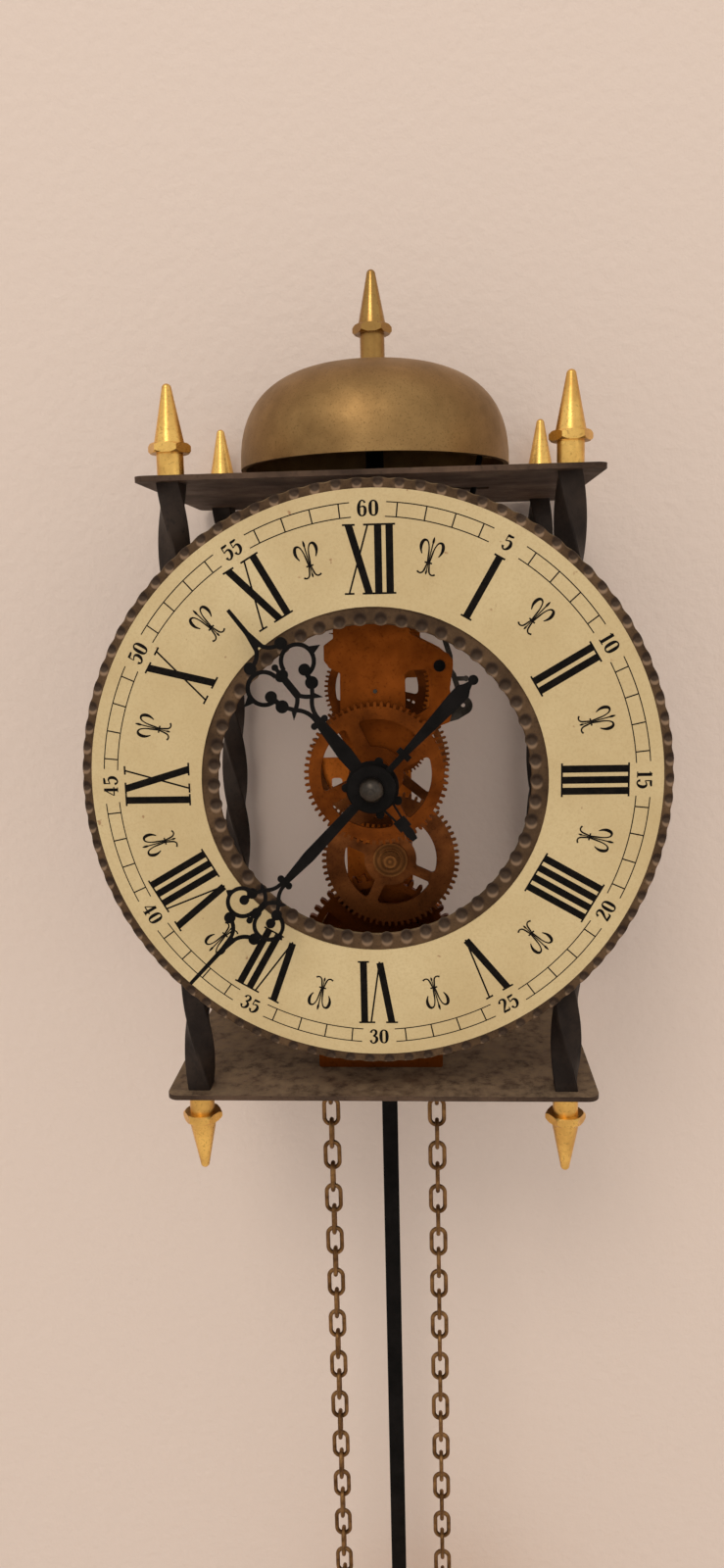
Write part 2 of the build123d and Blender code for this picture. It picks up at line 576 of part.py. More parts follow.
def make_chain_wheel():
    """The groove takes the upright links, the shoulders carry the flat ones, the flanges guide them."""
    groove = CHAIN_RADIUS * cos(pi / LINKS_ROUND_WHEEL) - LINK_WIDTH / 2 - 0.3
    shoulder = CHAIN_RADIUS * cos(pi / LINKS_ROUND_WHEEL) - LINK_WIRE / 2 - 0.25
    flange = CHAIN_RADIUS + 2.0
    groove_half = LINK_WIRE / 2 + 0.35
    shoulder_half = LINK_WIDTH / 2 + 0.35
    bore = GREAT_ARBOR_RADIUS
    drum = disc(GREAT, groove, CHAIN_LAYER - shoulder_half, CHAIN_LAYER + shoulder_half, bore)
    for side in (-1, 1):
        edges = sorted((CHAIN_LAYER + side * groove_half, CHAIN_LAYER + side * shoulder_half))
        drum += disc(GREAT, shoulder, *edges, bore)
        rims = sorted((CHAIN_LAYER + side * shoulder_half, CHAIN_LAYER + side * (shoulder_half + 0.8)))
        drum += disc(GREAT, flange, *rims, bore)
    node("chain_wheel", drum)
    ratchet_front = GREAT_LAYER + GREAT_WHEEL_THICK
    ratchet_teeth = 20
    ratchet_tip = 7.6
    ratchet_root = 6.4
    step = 2 * pi / ratchet_teeth
    points = []
    for k in range(ratchet_teeth):
        at = k * step
        points.append((ratchet_tip * cos(at), ratchet_tip * sin(at)))
        points.append((ratchet_root * cos(at + 0.04), ratchet_root * sin(at + 0.04)))
    node("ratchet_wheel", slab(Pos(*GREAT) * (polygon(*points) - Circle(bore)), ratchet_front,
                               CHAIN_LAYER - shoulder_half - 0.8))
    pivot = Pos(0, 11.2)
    click = polygon((0, 9.8), (1.2, 10.6), (4.6, 9.2), (3.4, 6.75), (2.4, 7.5), (2.7, 8.6))
    click += pivot * Circle(1.8)
    node("click", slab(Pos(*GREAT) * click, ratchet_front, ratchet_front + 1.0))
    arc = Circle(14.0) - Circle(13.5) - Pos(-7.5, 0) * Rectangle(15, 30) - Pos(7.5, -15) * Rectangle(16, 30)
    node("click_spring", slab(Pos(*GREAT) * arc, ratchet_front, ratchet_front + 1.0))


# Motion work and hands

def make_motion_work():
    toward_minute = bearing(CENTRE, MINUTE_WHEEL)
    cannon_back = CANNON_LAYER + 0.8
    cannon = pinion(CANNON_TEETH, MINUTE_MODULE, toward_minute, CENTRE, CANNON_LAYER - 0.3, cannon_back + 0.3,
                    CENTRE_ARBOR_RADIUS)
    cannon += disc(CENTRE, CANNON_PIPE_RADIUS, MINUTE_HAND_BACK, CANNON_LAYER - 0.3, CENTRE_ARBOR_RADIUS)
    node("cannon_pinion", cannon)
    bore = MINUTE_STUD_RADIUS + RUNNING_CLEARANCE
    node("minute_wheel",
         wheel(MINUTE_TEETH, MINUTE_MODULE, gap_toward(MINUTE_WHEEL, CENTRE, MINUTE_TEETH), MINUTE_WHEEL,
               CANNON_LAYER, 0.8, bore)
         + pinion(MINUTE_PINION_TEETH, HOUR_MODULE, bearing(MINUTE_WHEEL, CENTRE), MINUTE_WHEEL,
                  HOUR_LAYER - 0.3, CANNON_LAYER, bore))
    hour = wheel(HOUR_TEETH, HOUR_MODULE, gap_toward(CENTRE, MINUTE_WHEEL, HOUR_TEETH), CENTRE, HOUR_LAYER,
                 0.8, HOUR_PIPE_BORE)
    hour += disc(CENTRE, HOUR_PIPE_RADIUS, HOUR_HAND_BACK - HAND_THICK, HOUR_LAYER, HOUR_PIPE_BORE)
    node("hour_wheel", hour)
    dial_wheel = wheel(WHEEL_TEETH, CENTRE_MODULE, bearing(CENTRE, THIRD), CENTRE, DIAL_WHEEL_LAYER,
                       WHEEL_THICK, HOUR_PIPE_RADIUS, (16.6, 8.2, 4, 4.4, 26))
    dial_wheel += disc(CENTRE, 4.4, DIAL_WHEEL_LAYER - 1.2, DIAL_WHEEL_LAYER, HOUR_PIPE_RADIUS)
    node("dial_wheel", dial_wheel)


def mirrored(shape):
    return shape + mirror(shape, Plane.YZ)


def filigree(ring, ring_radius, strip, inner_ball, outer_ball, top_ball, horn, diamond, spur, collar, spike):
    """The pierced ornament of a hand, drawn pointing up; points are (across, along)."""
    ring_x, ring_y = ring
    top, side, low = diamond
    middle = ring_radius - strip / 2
    half = trace(CenterArc(ring, middle, 176, -270), strip)
    half += Pos(ring_x, ring_y + inner_ball[0]) * Circle(inner_ball[1])
    half += Pos(*outer_ball[:2]) * Circle(outer_ball[2])
    half += trace(Line((ring_x, ring_y + inner_ball[0]), outer_ball[:2]), strip * 1.2)
    half += trace(Line(outer_ball[:2], side), strip)
    pull = 0.8
    upper_bend = (side[0] * 0.5 - pull * 0.3, (top + side[1]) / 2 - pull * 0.3)
    half += trace(ThreePointArc((0, top), upper_bend, side), strip)
    half += trace(ThreePointArc(side, (side[0] * 0.5 - pull * 0.1, (low + side[1]) / 2 - pull * 0.5),
                                (0.5, collar + 0.8)), strip)
    half += polygon((side[0] - 0.7, side[1] + 0.3), (side[0] + 0.9, side[1] + 0.5), spur,
                    (side[0] - 0.4, side[1] - 0.5))
    half += Pos(*top_ball[:2]) * Circle(top_ball[2])
    half += trace(ThreePointArc(top_ball[:2], (top_ball[0] * 0.42, (top_ball[1] + spike[0]) / 2 - 0.6),
                                (0.5, spike[0] + 0.6)), strip)
    horn_base = ring_x + middle
    half += polygon((horn_base - 0.3, ring_y + 1.6), horn, (horn_base - 0.2, ring_y - 1.4))
    half += Pos(spike[1] + 0.3, collar) * Circle(0.95)
    whole = mirrored(half)
    whole += Pos(0, (ring_y + top) / 2 - 0.2) * Rectangle(strip * 1.7, ring_y - top + 0.6)
    whole += Pos(0, ring_y - 0.4) * Ellipse(ring_x - ring_radius + 1.0, 1.6)
    whole += Pos(0, ring_y + 1.4) * Rectangle(1.0, 3.0)
    whole += Pos(0, ring_y + 2.5) * Circle(0.9)
    whole += Pos(0, collar) * Rectangle(2 * spike[1] + 1.0, 1.7)
    tip_width = 0.5
    whole += polygon((-spike[1], spike[0] - 0.4), (-tip_width - 0.15, spike[0] + 4.5), (-tip_width, spike[2]),
                     (tip_width, spike[2]), (tip_width + 0.15, spike[0] + 4.5), (spike[1], spike[0] - 0.4))
    return whole


def make_hands():
    hour = filigree(ring=(6.0, 40.0), ring_radius=5.1, strip=1.15, inner_ball=(-3.0, 1.65),
                    outer_ball=(5.3, 33.0, 1.8), top_ball=(5.5, 46.6, 1.7), horn=(13.7, 39.5),
                    diamond=(33.0, (3.1, 30.0), 27.2), spur=(5.2, 28.0), collar=23.2, spike=(50.0, 1.5, 62.6))
    hour += polygon((-1.8, 6.0), (-2.2, 12.0), (-1.3, 23.5), (1.3, 23.5), (2.2, 12.0), (1.8, 6.0))
    for side in (-1, 1):
        hour += trace(Line((side * 1.6, -7.0), (side * 0.9, -12.2)), 0.55)
    hour += Pos(0, -13.3) * Rectangle(3.7, 3.3)
    hour += polygon((-1.1, -14.5), (-1.35, -16.6), (-0.8, -19.0), (0.8, -19.0), (1.35, -16.6), (1.1, -14.5))
    hour += Circle(7.4)
    for angle, reach in ((37, 7.4), (143, 7.4), (247, 8.0), (293, 8.0)):
        hour += Rot(0, 0, angle) * Pos(reach, 0) * Circle(1.2)
    hour -= Circle(HOUR_PIPE_RADIUS)
    hour_turned = Rot(0, 0, -HOUR_HAND_ANGLE) * hour
    node("hour_hand", slab(hour_turned, HOUR_HAND_BACK - HAND_THICK, HOUR_HAND_BACK))

    minute = filigree(ring=(5.0, 48.9), ring_radius=4.6, strip=1.05, inner_ball=(-0.9, 1.35),
                      outer_ball=(4.6, 45.0, 1.5), top_ball=(4.6, 54.7, 1.6), horn=(10.6, 49.4),
                      diamond=(45.0, (2.8, 42.0), 39.4), spur=(4.7, 41.0), collar=36.3,
                      spike=(59.0, 1.2, 77.2))
    minute += polygon((-1.2, 0), (-1.7, 26.0), (-0.9, 36.5), (0.9, 36.5), (1.7, 26.0), (1.2, 0))
    minute += Circle(5.0)
    minute += polygon((-0.8, 0), (-0.9, -13.0), (-2.2, -33.0), (-2.2, -36.5), (-1.2, -38.0), (-0.7, -39.4),
                      (0.7, -39.4), (1.2, -38.0), (2.2, -36.5), (2.2, -33.0), (0.9, -13.0), (0.8, 0))
    minute += Pos(0, -13.0) * Rectangle(4.2, 1.7)
    minute += Pos(0, -40.6) * Circle(1.35)
    minute -= Circle(CENTRE_ARBOR_RADIUS)
    minute_turned = Rot(0, 0, -MINUTE_HAND_ANGLE) * minute
    front = MINUTE_HAND_BACK - HAND_THICK
    node("minute_hand", slab(minute_turned, front, MINUTE_HAND_BACK))
    node("hand_disc", disc(CENTRE, DISC_RADIUS, front - DISC_THICK, front, CENTRE_ARBOR_RADIUS))
    base = front - DISC_THICK
    dome_radius = (NUT_RADIUS**2 + (NUT_HEIGHT - 1.2) ** 2) / 2 / (NUT_HEIGHT - 1.2)
    nut = disc(CENTRE, NUT_RADIUS, base - NUT_HEIGHT, base)
    nut &= Pos(0, base - NUT_HEIGHT + dome_radius, 0) * Sphere(dome_radius)
    nut -= disc(CENTRE, ARBOR_TIP_RADIUS, base - NUT_HEIGHT - 1, base)
    node("hand_nut", nut - disc(CENTRE, CENTRE_ARBOR_RADIUS, base - NUT_HEIGHT + ARBOR_TIP_LENGTH, base))


# Movement plates

def pivot_holes(plate, centres, front, back):
    for centre, radius in centres:
        plate -= disc(centre, radius, front - 1, back + 1)
    return plate


FRAME_PILLARS = ((-10.0, 60.0), (10.0, 60.0), (19.3, 31.7))
LOWER_PILLARS = ((-9.0, -90.0), (7.0, -90.0))


def make_plates():
    shared = [(THIRD, PIVOT_RADIUS + PIVOT_CLEARANCE), (HAMMER, PIVOT_RADIUS + PIVOT_CLEARANCE)]
    escape_hole = ESCAPE_PIVOT_RADIUS + PIVOT_CLEARANCE
    pillar_holes = [(p, MOVEMENT_PILLAR_NECK) for p in FRAME_PILLARS]
    outline = polygon(
        (-5.1, 2.0), (-14.0, 16.4), (-10.6, 18.2), (-10.4, 30.0), (-13.7, 31.8), (-15.1, 33.8),
        (-15.1, 38.3), (-12.2, 40.4), (-12.2, 46.0), (-15.0, 50.0), (-15.0, 67.0), (15.0, 67.0), (15.0, 53.0),
        (27.5, 52.5), (27.5, 43.5), (20.5, 43.5), (18.5, 47.0), (10.6, 47.0), (10.6, 41.4),
        (21.9, 35.2), (23.3, 33.3), (23.3, 31.5), (22.3, 24.8), (23.3, 19.0), (22.1, 14.8), (18.6, 13.5),
        (6.1, 5.0))
    window = polygon((9.0, 18.4), (12.7, 17.2), (16.1, 19.4), (16.1, 29.4), (14.9, 30.6), (10.4, 30.6),
                     (9.0, 29.2))
    sheet = fillet(outline.vertices(), 0.6) + Circle(6.2)
    front = slab(sheet - window, FRONT_PLATE_Y, FRONT_PLATE_BACK)
    front = pivot_holes(front, shared + pillar_holes + [
        (CENTRE, HOUR_PIPE_RADIUS + 0.1), (ANCHOR, PIVOT_RADIUS + PIVOT_CLEARANCE)],
        FRONT_PLATE_Y, FRONT_PLATE_BACK)
    front += disc(MINUTE_WHEEL, MINUTE_STUD_RADIUS, FRONT_PLATE_Y, CANNON_LAYER + 0.9)
    for sink in (THIRD, ANCHOR):
        front -= disc(sink, 1.3, FRONT_PLATE_Y - 1, FRONT_PLATE_Y + 0.4)
    front -= disc(ESCAPE, escape_hole, FRONT_PLATE_Y + BLIND_HOLE_FLOOR, FRONT_PLATE_BACK + 1)
    node("front_plate", front)

    foot = LOWER_INSIDE
    bridge = polygon((-20.5, foot), (19.0, foot), (19.0, -58.0), (13.0, -52.0), (-15.0, -52.0), (-20.5, -58.0))
    bridge = slab(fillet(bridge.vertices(), 0.8), BRIDGE_Y, BRIDGE_BACK)
    node("lower_bridge", pivot_holes(
        bridge, [(GREAT, GREAT_PIVOT_RADIUS + PIVOT_CLEARANCE)]
        + [(p, MOVEMENT_PILLAR_NECK) for p in LOWER_PILLARS], BRIDGE_Y, BRIDGE_BACK))

    back = polygon(
        (-20.5, foot), (19.0, foot), (19.0, -50.0), (10.0, -44.0), (10.0, 7.0), (19.5, 12.0), (23.2, 24.0),
        (23.0, 33.0), (19.6, 36.1), (13.5, 39.3), (13.5, 46.0), (20.5, 46.0), (20.5, 43.5), (27.5, 43.5),
        (27.5, 52.5), (15.0, 53.0), (15.0, 67.0), (-15.0, 67.0), (-15.0, 50.0), (-11.0, 46.0), (-11.0, 0.6),
        (-20.3, 0.6), (-20.3, -13.0), (-11.8, -13.0), (-11.8, -44.0), (-20.5, -52.0))
    see_through = polygon((8.5, 17.0), (13.9, 17.0), (13.9, 26.5), (8.5, 26.5))
    see_through += polygon((-16.3, -9.5), (-12.8, -9.5), (-12.8, -6.1), (-16.3, -6.1))
    back = fillet(back.vertices(), 0.8) - fillet(see_through.vertices(), 1.0)
    back = slab(back, BACK_PLATE_Y, BACK_PLATE_BACK)
    up = (sin(radians(hammer_lean())), cos(radians(hammer_lean())))
    stop = (HAMMER[0] + 4.0 * up[0] + 2.0 * up[1], HAMMER[1] + 4.0 * up[1] - 2.0 * up[0])
    back += disc(stop, 1.0, HAMMER_LAYER - 2.5, BACK_PLATE_Y)
    node("back_plate", pivot_holes(back, shared + pillar_holes + [
        (CENTRE, CENTRE_ARBOR_RADIUS + PIVOT_CLEARANCE), (ANCHOR, SLIM_ARBOR_RADIUS + PIVOT_CLEARANCE),
        (INTERMEDIATE, STUD_I_RADIUS), (GREAT, GREAT_PIVOT_RADIUS + PIVOT_CLEARANCE), (ESCAPE, escape_hole)]
        + [(p, MOVEMENT_PILLAR_NECK) for p in LOWER_PILLARS], BACK_PLATE_Y, BACK_PLATE_BACK))


def make_movement_frame():
    """Each pillar's necks pass through the plates; a screw head holds it at both ends."""
    pillars = []
    heads = []
    for places, front, plate in ((FRAME_PILLARS, FRONT_PLATE_Y, FRONT_PLATE_BACK),
                                 (LOWER_PILLARS, BRIDGE_Y, BRIDGE_BACK)):
        for place in places:
            pillars.append(disc(place, MOVEMENT_PILLAR_RADIUS, plate, BACK_PLATE_Y)
                           + disc(place, MOVEMENT_PILLAR_NECK, front, BACK_PLATE_BACK))
            heads.append(disc(place, FRONT_SCREW_RADIUS, front - SCREW_HEAD_THICK, front))
            heads.append(disc(place, BACK_SCREW_RADIUS, BACK_PLATE_BACK, BACK_PLATE_BACK + SCREW_HEAD_THICK))
    node("movement_pillars", *pillars)
    angle_face = polygon((0, 0), (9.0, 0), (9.0, 1.2), (1.2, 1.2), (1.2, 12.0), (0, 12.0))
    brackets = []
    for x in (-15.5, 14.0):
        place = Plane(origin=(x - 4, BACK_PLATE_BACK, LOWER_INSIDE), x_dir=(0, 1, 0), z_dir=(1, 0, 0))
        angle = extrude(place * angle_face, 8.0)
        brackets.append(angle)
        heads.append(post(x, BACK_PLATE_BACK + 5.5, 2.2, LOWER_INSIDE + 1.2, LOWER_INSIDE + 2.6))
        heads.append(disc((x, LOWER_INSIDE + 8.0), 2.0, BACK_PLATE_BACK + 1.2, BACK_PLATE_BACK + 2.4))
    node("movement_brackets", *brackets)
    heads.append(disc((0, ANCHOR[1] + ARM_ABOVE_PIVOT + ARM_HEIGHT / 2), 2.0, ARM_END, ARM_END + 1.2))
    for sx in (-1, 1):
        heads.append(post(sx * 9.0, PLATE_BACK - 5.0, 1.8, CASE_TOP, CASE_TOP + 0.8))
    node("screw_heads", *heads)


# Escapement and pendulum

def make_escapement():
    """The pallets ride just outside the wheel's tips, clear by the gap at full swing."""
    toward = bearing(ANCHOR, ESCAPE)
    arm = sqrt(ANCHOR_DISTANCE**2 - ESCAPE_RADIUS**2)
    spread = 90 - PALLET_HALF_ANGLE
    face = Circle(3.4)
    for side in (-1, 1):
        angle = toward + side * spread
        face += Rot(0, 0, angle) * Pos(arm / 2, 0) * Rectangle(arm + 1.5, 2.4)
        beak_angle = toward + side * (spread + 3)
        face += Rot(0, 0, beak_angle) * Pos(arm + 0.2, 0) * Rectangle(3.0, 3.4)
    face -= Pos(*(ESCAPE[0] - ANCHOR[0], ESCAPE[1] - ANCHOR[1])) * Circle(ESCAPE_RADIUS + PALLET_GAP)
    face -= Circle(SLIM_ARBOR_RADIUS)
    node("anchor", slab(Pos(*ANCHOR) * face, ESCAPE_LAYER - 0.4, ESCAPE_LAYER + 1.4))
    node("anchor_arbor",
         disc(ANCHOR, SLIM_ARBOR_RADIUS, FRONT_PLATE_BACK + 0.2, CRUTCH_LAYER + 1.6)
         + disc(ANCHOR, PIVOT_RADIUS, FRONT_PLATE_Y, FRONT_PLATE_BACK + 0.2))
    strip = Pos(0, -CRUTCH_LENGTH / 2) * Rectangle(4.4, CRUTCH_LENGTH) + Circle(3.6)
    strip += Pos(0, -CRUTCH_LENGTH) * Rectangle(2 * (ROD_WIDTH / 2 + 2.2), 4.0)
    crutch = slab(Pos(*ANCHOR) * (strip - Circle(SLIM_ARBOR_RADIUS)), CRUTCH_LAYER, CRUTCH_LAYER + 1.2)
    for side in (-1, 1):
        pin_x = ANCHOR[0] + side * (ROD_WIDTH / 2 + 0.9)
        crutch += disc((pin_x, ANCHOR[1] - CRUTCH_LENGTH), 0.8, CRUTCH_LAYER + 1.2, PENDULUM_LAYER + 2.5)
    node("crutch", crutch)


def make_pendulum():
    pivot = ANCHOR[1]
    arm_mid = pivot + ARM_ABOVE_PIVOT + ARM_HEIGHT / 2
    arm = Pos(0, (BACK_PLATE_BACK + ARM_END) / 2, arm_mid) * Box(8.0, ARM_END - BACK_PLATE_BACK, ARM_HEIGHT)
    arm = fillet(arm.edges().filter_by(Axis.Y), 0.8)
    block_low = pivot + 0.2
    block = ARM_ABOVE_PIVOT - 0.2
    node("suspension_post", arm + Pos(0, PENDULUM_LAYER, block_low + block / 2) * Box(5.0, 7.0, block))
    blade_drop = 8.0
    head_height = 6.0
    blade = Pos(0, PENDULUM_LAYER, pivot - blade_drop / 2) * Box(0.3, 5.0, blade_drop)
    node("suspension_spring", blade)
    head_low = pivot - blade_drop - head_height
    head = Pos(0, PENDULUM_LAYER, head_low + head_height / 2) * Box(5.0, 6.0, head_height)
    bob_z = pivot - PENDULUM_LENGTH
    nut_top = bob_z - BOB_RADIUS - 0.3
    nut_height = 5.0
    thread_radius = 1.4
    rod_low = nut_top
    rod = Pos(0, PENDULUM_LAYER, (head_low + rod_low) / 2) * Box(ROD_WIDTH, ROD_THICK, head_low - rod_low)
    rod += head + post(0, PENDULUM_LAYER, thread_radius, nut_top - nut_height - 6.0, rod_low)
    node("pendulum_rod", rod)
    node("rating_nut", post(0, PENDULUM_LAYER, 5.0, nut_top - nut_height, nut_top, thread_radius))
    cap_depth = BOB_THICK / 2
    lens = (BOB_RADIUS**2 + cap_depth**2) / 2 / cap_depth
    bob = Pos(0, PENDULUM_LAYER + lens - cap_depth, bob_z) * Sphere(lens)
    bob &= Pos(0, PENDULUM_LAYER - lens + cap_depth, bob_z) * Sphere(lens)
    bob &= disc((0, bob_z), BOB_RADIUS - 0.6, PENDULUM_LAYER - BOB_THICK, PENDULUM_LAYER + BOB_THICK)
    slot = Box(ROD_WIDTH + 0.2, ROD_THICK + 0.2, 3 * BOB_RADIUS)
    node("pendulum_bob", bob - Pos(0, PENDULUM_LAYER, bob_z) * slot)


# Strike

def hammer_rod_x(height):
    """The hammer rod leans from its arbor up to the head, inside the bell's right wall."""
    share = (height - HAMMER[1]) / (hammer_head_z() - HAMMER[1])
    return HAMMER[0] + share * (hammer_head_x() - HAMMER[0])


def hammer_head_x():
    wall = (BELL_RADIUS - BELL_WALL) * 0.95
    return wall - HAMMER_GAP - HAMMER_HEAD_LENGTH / 2


def hammer_head_z():
    return BELL_RIM + HAMMER_HEAD_HEIGHT - HAMMER_HEAD_RADIUS - 2.0


def hammer_lean():
    """How far the hammer rod leans to the right, in degrees."""
    return degrees(atan2(hammer_head_x() - HAMMER[0], hammer_head_z() - HAMMER[1]))


def make_hammer():
    head_z = hammer_head_z()
    head_x = hammer_head_x()
    node("hammer_arbor", plain_arbor(HAMMER, SLIM_ARBOR_RADIUS, PIVOT_RADIUS))
    boss = disc(HAMMER, 2.6, HAMMER_LAYER - 2.0, BACK_PLATE_Y - 0.3, SLIM_ARBOR_RADIUS)
    lean = hammer_lean()
    rod_length = sqrt((head_x - HAMMER[0]) ** 2 + (head_z - HAMMER[1]) ** 2) - 2.0
    rod_place = Pos(HAMMER[0], HAMMER_LAYER - 0.6, HAMMER[1]) * Rot(0, lean, 0)
    rod = rod_place * Pos(0, 0, 2.0 + rod_length / 2) * Cylinder(0.9, rod_length)
    node("hammer_rod", boss + rod - disc(HAMMER, SLIM_ARBOR_RADIUS, FRONT_PLATE_Y, BACK_PLATE_BACK))
    head = Pos(head_x, HAMMER_LAYER - 0.6, head_z) * Rot(0, 90 + lean, 0) * Cylinder(
        HAMMER_HEAD_RADIUS, HAMMER_HEAD_LENGTH)
    node("hammer_head", chamfer(head.edges(), 0.5) - nodes["hammer_rod"])
    lever = trace(Polyline(HAMMER, (21.4, 38.5), (22.95, 33.5), (22.95, 29.0), (24.0, 27.5), (26.6, 19.2)),
                  1.7)
    lever += Pos(*HAMMER) * Circle(2.9)
    lever += trace(Line((24.2, 26.2), (28.0, 26.2)), 1.4) + Pos(28.0, 26.2) * Circle(0.9)
    lobe = Pos(27.0, 17.6) * Circle(3.0)
    lobe += polygon((25.2, 21.2), (28.8, 15.2), (25.4, 13.2), (19.6, 11.6), (19.2, 13.4), (23.6, 16.6))
    lever += lobe - Pos(27.0, 17.7) * Circle(0.65)
    lever -= Pos(*HAMMER) * Circle(SLIM_ARBOR_RADIUS)
    node("lifting_lever", slab(lever, LEVER_LAYER, LEVER_LAYER + 1.0))


# Chain, weight and ring

def chain_link():
    """One link lying along Z in the XZ plane, welded round from two bars and two bends."""
    bend = (LINK_WIDTH - LINK_WIRE) / 2
    straight = LINK_LENGTH - LINK_WIRE - 2 * bend
    wire = LINK_WIRE / 2
    bar = Cylinder(wire, straight)
    link = Pos(bend, 0, 0) * bar + Pos(-bend, 0, 0) * bar
    section = Plane(origin=(bend, 0, 0), x_dir=(1, 0, 0), z_dir=(0, 0, 1)) * Circle(wire)
    for side in (-1, 1):
        half = revolve(section, Axis((0, 0, 0), (0, -side, 0)), 180)
        link += Pos(0, 0, side * straight / 2) * half
    return link


def make_chain():
    """Each link hangs a quarter turn round from the last."""
    link = chain_link()
    links = []
    for x in (WEIGHT_STRAND_X, FREE_STRAND_X):
        for k in range(STRAND_LINKS):
            turn = 90 if k % 2 == 0 else 0
            links.append(Pos(x, CHAIN_LAYER, GREAT[1] - (k + 0.5) * LINK_PITCH) * Rot(0, 0, turn) * link)
    apothem = CHAIN_RADIUS * cos(pi / LINKS_ROUND_WHEEL)
    for k in range(LINKS_ROUND_WHEEL // 2):
        angle = (k + 0.5) * 360 / LINKS_ROUND_WHEEL
        turn = 0 if k % 2 == 0 else 90
        links.append(Pos(GREAT[0], CHAIN_LAYER, GREAT[1]) * Rot(0, -angle, 0) * Pos(apothem, 0, 0)
                     * Rot(0, 0, turn) * link)
    node("chain", *links)


def make_drive():
    ring_top = HOOK_CONTACT + LINK_WIRE / 2 + LINK_PLAY
    hook_centre = ring_top + HOOK_WIRE / 2 - HOOK_RING_RADIUS
    hook = Pos(WEIGHT_STRAND_X, CHAIN_LAYER, hook_centre) * Rot(90, 0, 0) * Torus(
        HOOK_RING_RADIUS, HOOK_WIRE / 2)
    cap_top = hook_centre - HOOK_RING_RADIUS - 6.0
    hook += post(WEIGHT_STRAND_X, CHAIN_LAYER, 1.4, cap_top, hook_centre - HOOK_RING_RADIUS)
    node("weight_hook", hook)
    x = WEIGHT_STRAND_X
    low = cap_top - WEIGHT_LENGTH
    shell = post(x, CHAIN_LAYER, WEIGHT_RADIUS, low, cap_top)
    shell = chamfer(shell.edges(), 0.8)
    shell -= post(x, CHAIN_LAYER, WEIGHT_RADIUS - 1.2, low + WEIGHT_CAP, cap_top - WEIGHT_CAP)
    node("weight_shell", shell)
    node("weight_filling", post(x, CHAIN_LAYER, WEIGHT_RADIUS - 1.25, low + WEIGHT_CAP + 0.05,
                                cap_top - WEIGHT_CAP - 0.05))
    ring_centre = ring_top + PULL_RING_WIRE / 2 - PULL_RING_RADIUS
    node("pull_ring", Pos(FREE_STRAND_X, CHAIN_LAYER, ring_centre) * Rot(90, 0, 0)
         * Torus(PULL_RING_RADIUS, PULL_RING_WIRE / 2))


# Wall fixing

def make_wall_fixing():
    top = UPPER_INSIDE
    strap = slab(Pos(0, top - STRAP_DROP / 2) * RectangleRounded(STRAP_WIDTH, STRAP_DROP, 2.0), PLATE_BACK,
                 PLATE_BACK + STRAP_THICK)
    flange = Pos(0, PLATE_BACK - 5.0 + STRAP_THICK / 2, top - STRAP_THICK / 2) * Box(
        STRAP_WIDTH - 4.0, 10.0 + STRAP_THICK, STRAP_THICK)
    strap += flange
    strap -= disc((0, EYE_Z), EYE_RADIUS, PLATE_BACK - 1, PLATE_BACK + STRAP_THICK + 1)
    node("wall_hanger", strap)
    spacer_end = PLATE_BACK + STRAP_THICK
    spacers = []
    for sx in (-1, 1):
        x = sx * (PILLAR_X - 12.0)
        z = LOWER_INSIDE + SPACER_RADIUS
        foot = disc((x, z), SPACER_RADIUS, spacer_end - 14.0, spacer_end)
        spacers.append(foot)
    node("wall_spacers", *spacers)


make_case()
make_bell()
make_dial()
make_train()
make_chain_wheel()
make_motion_work()
make_hands()
make_plates()
make_movement_frame()
make_escapement()
make_pendulum()
make_hammer()
make_chain()
make_drive()
make_wall_fixing()

os.makedirs("parts", exist_ok=True)
to_eye = Pos(0, -EYE_Y, -EYE_Z)
for name, shape in nodes.items():
    export_step(to_eye * shape, f"parts/{name}.step")
print(len(nodes), "nodes; eye at", round(EYE_Y, 3), round(EYE_Z, 3), "above and behind the dial's centre")
for name, place in (("intermediate", INTERMEDIATE), ("great", GREAT), ("third", THIRD), ("escape", ESCAPE),
                    ("anchor", ANCHOR), ("minute wheel", MINUTE_WHEEL), ("hammer", HAMMER)):
    print(name, "arbor at", round(place[0], 3), round(place[1], 3))
print("chain strands at", round(WEIGHT_STRAND_X, 3), round(FREE_STRAND_X, 3),
      "hook contact", round(HOOK_CONTACT, 3))
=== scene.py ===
# %% [markdown]
# A skeleton wall clock: an iron case of two plates and four twisted bars, a ring dial, an open brass
# movement, a bell on top, and a chain, a weight and a pendulum below. The metal comes from the packed
# model, in metres, and is kept as it is. What is added here is what a machine drawing leaves out: the
# hammered rim, the printing on the dial, and the finish of each metal.

from math import atan2, cos, hypot, pi, radians, sin

import bmesh
import bpy
from mathutils import Matrix, Vector


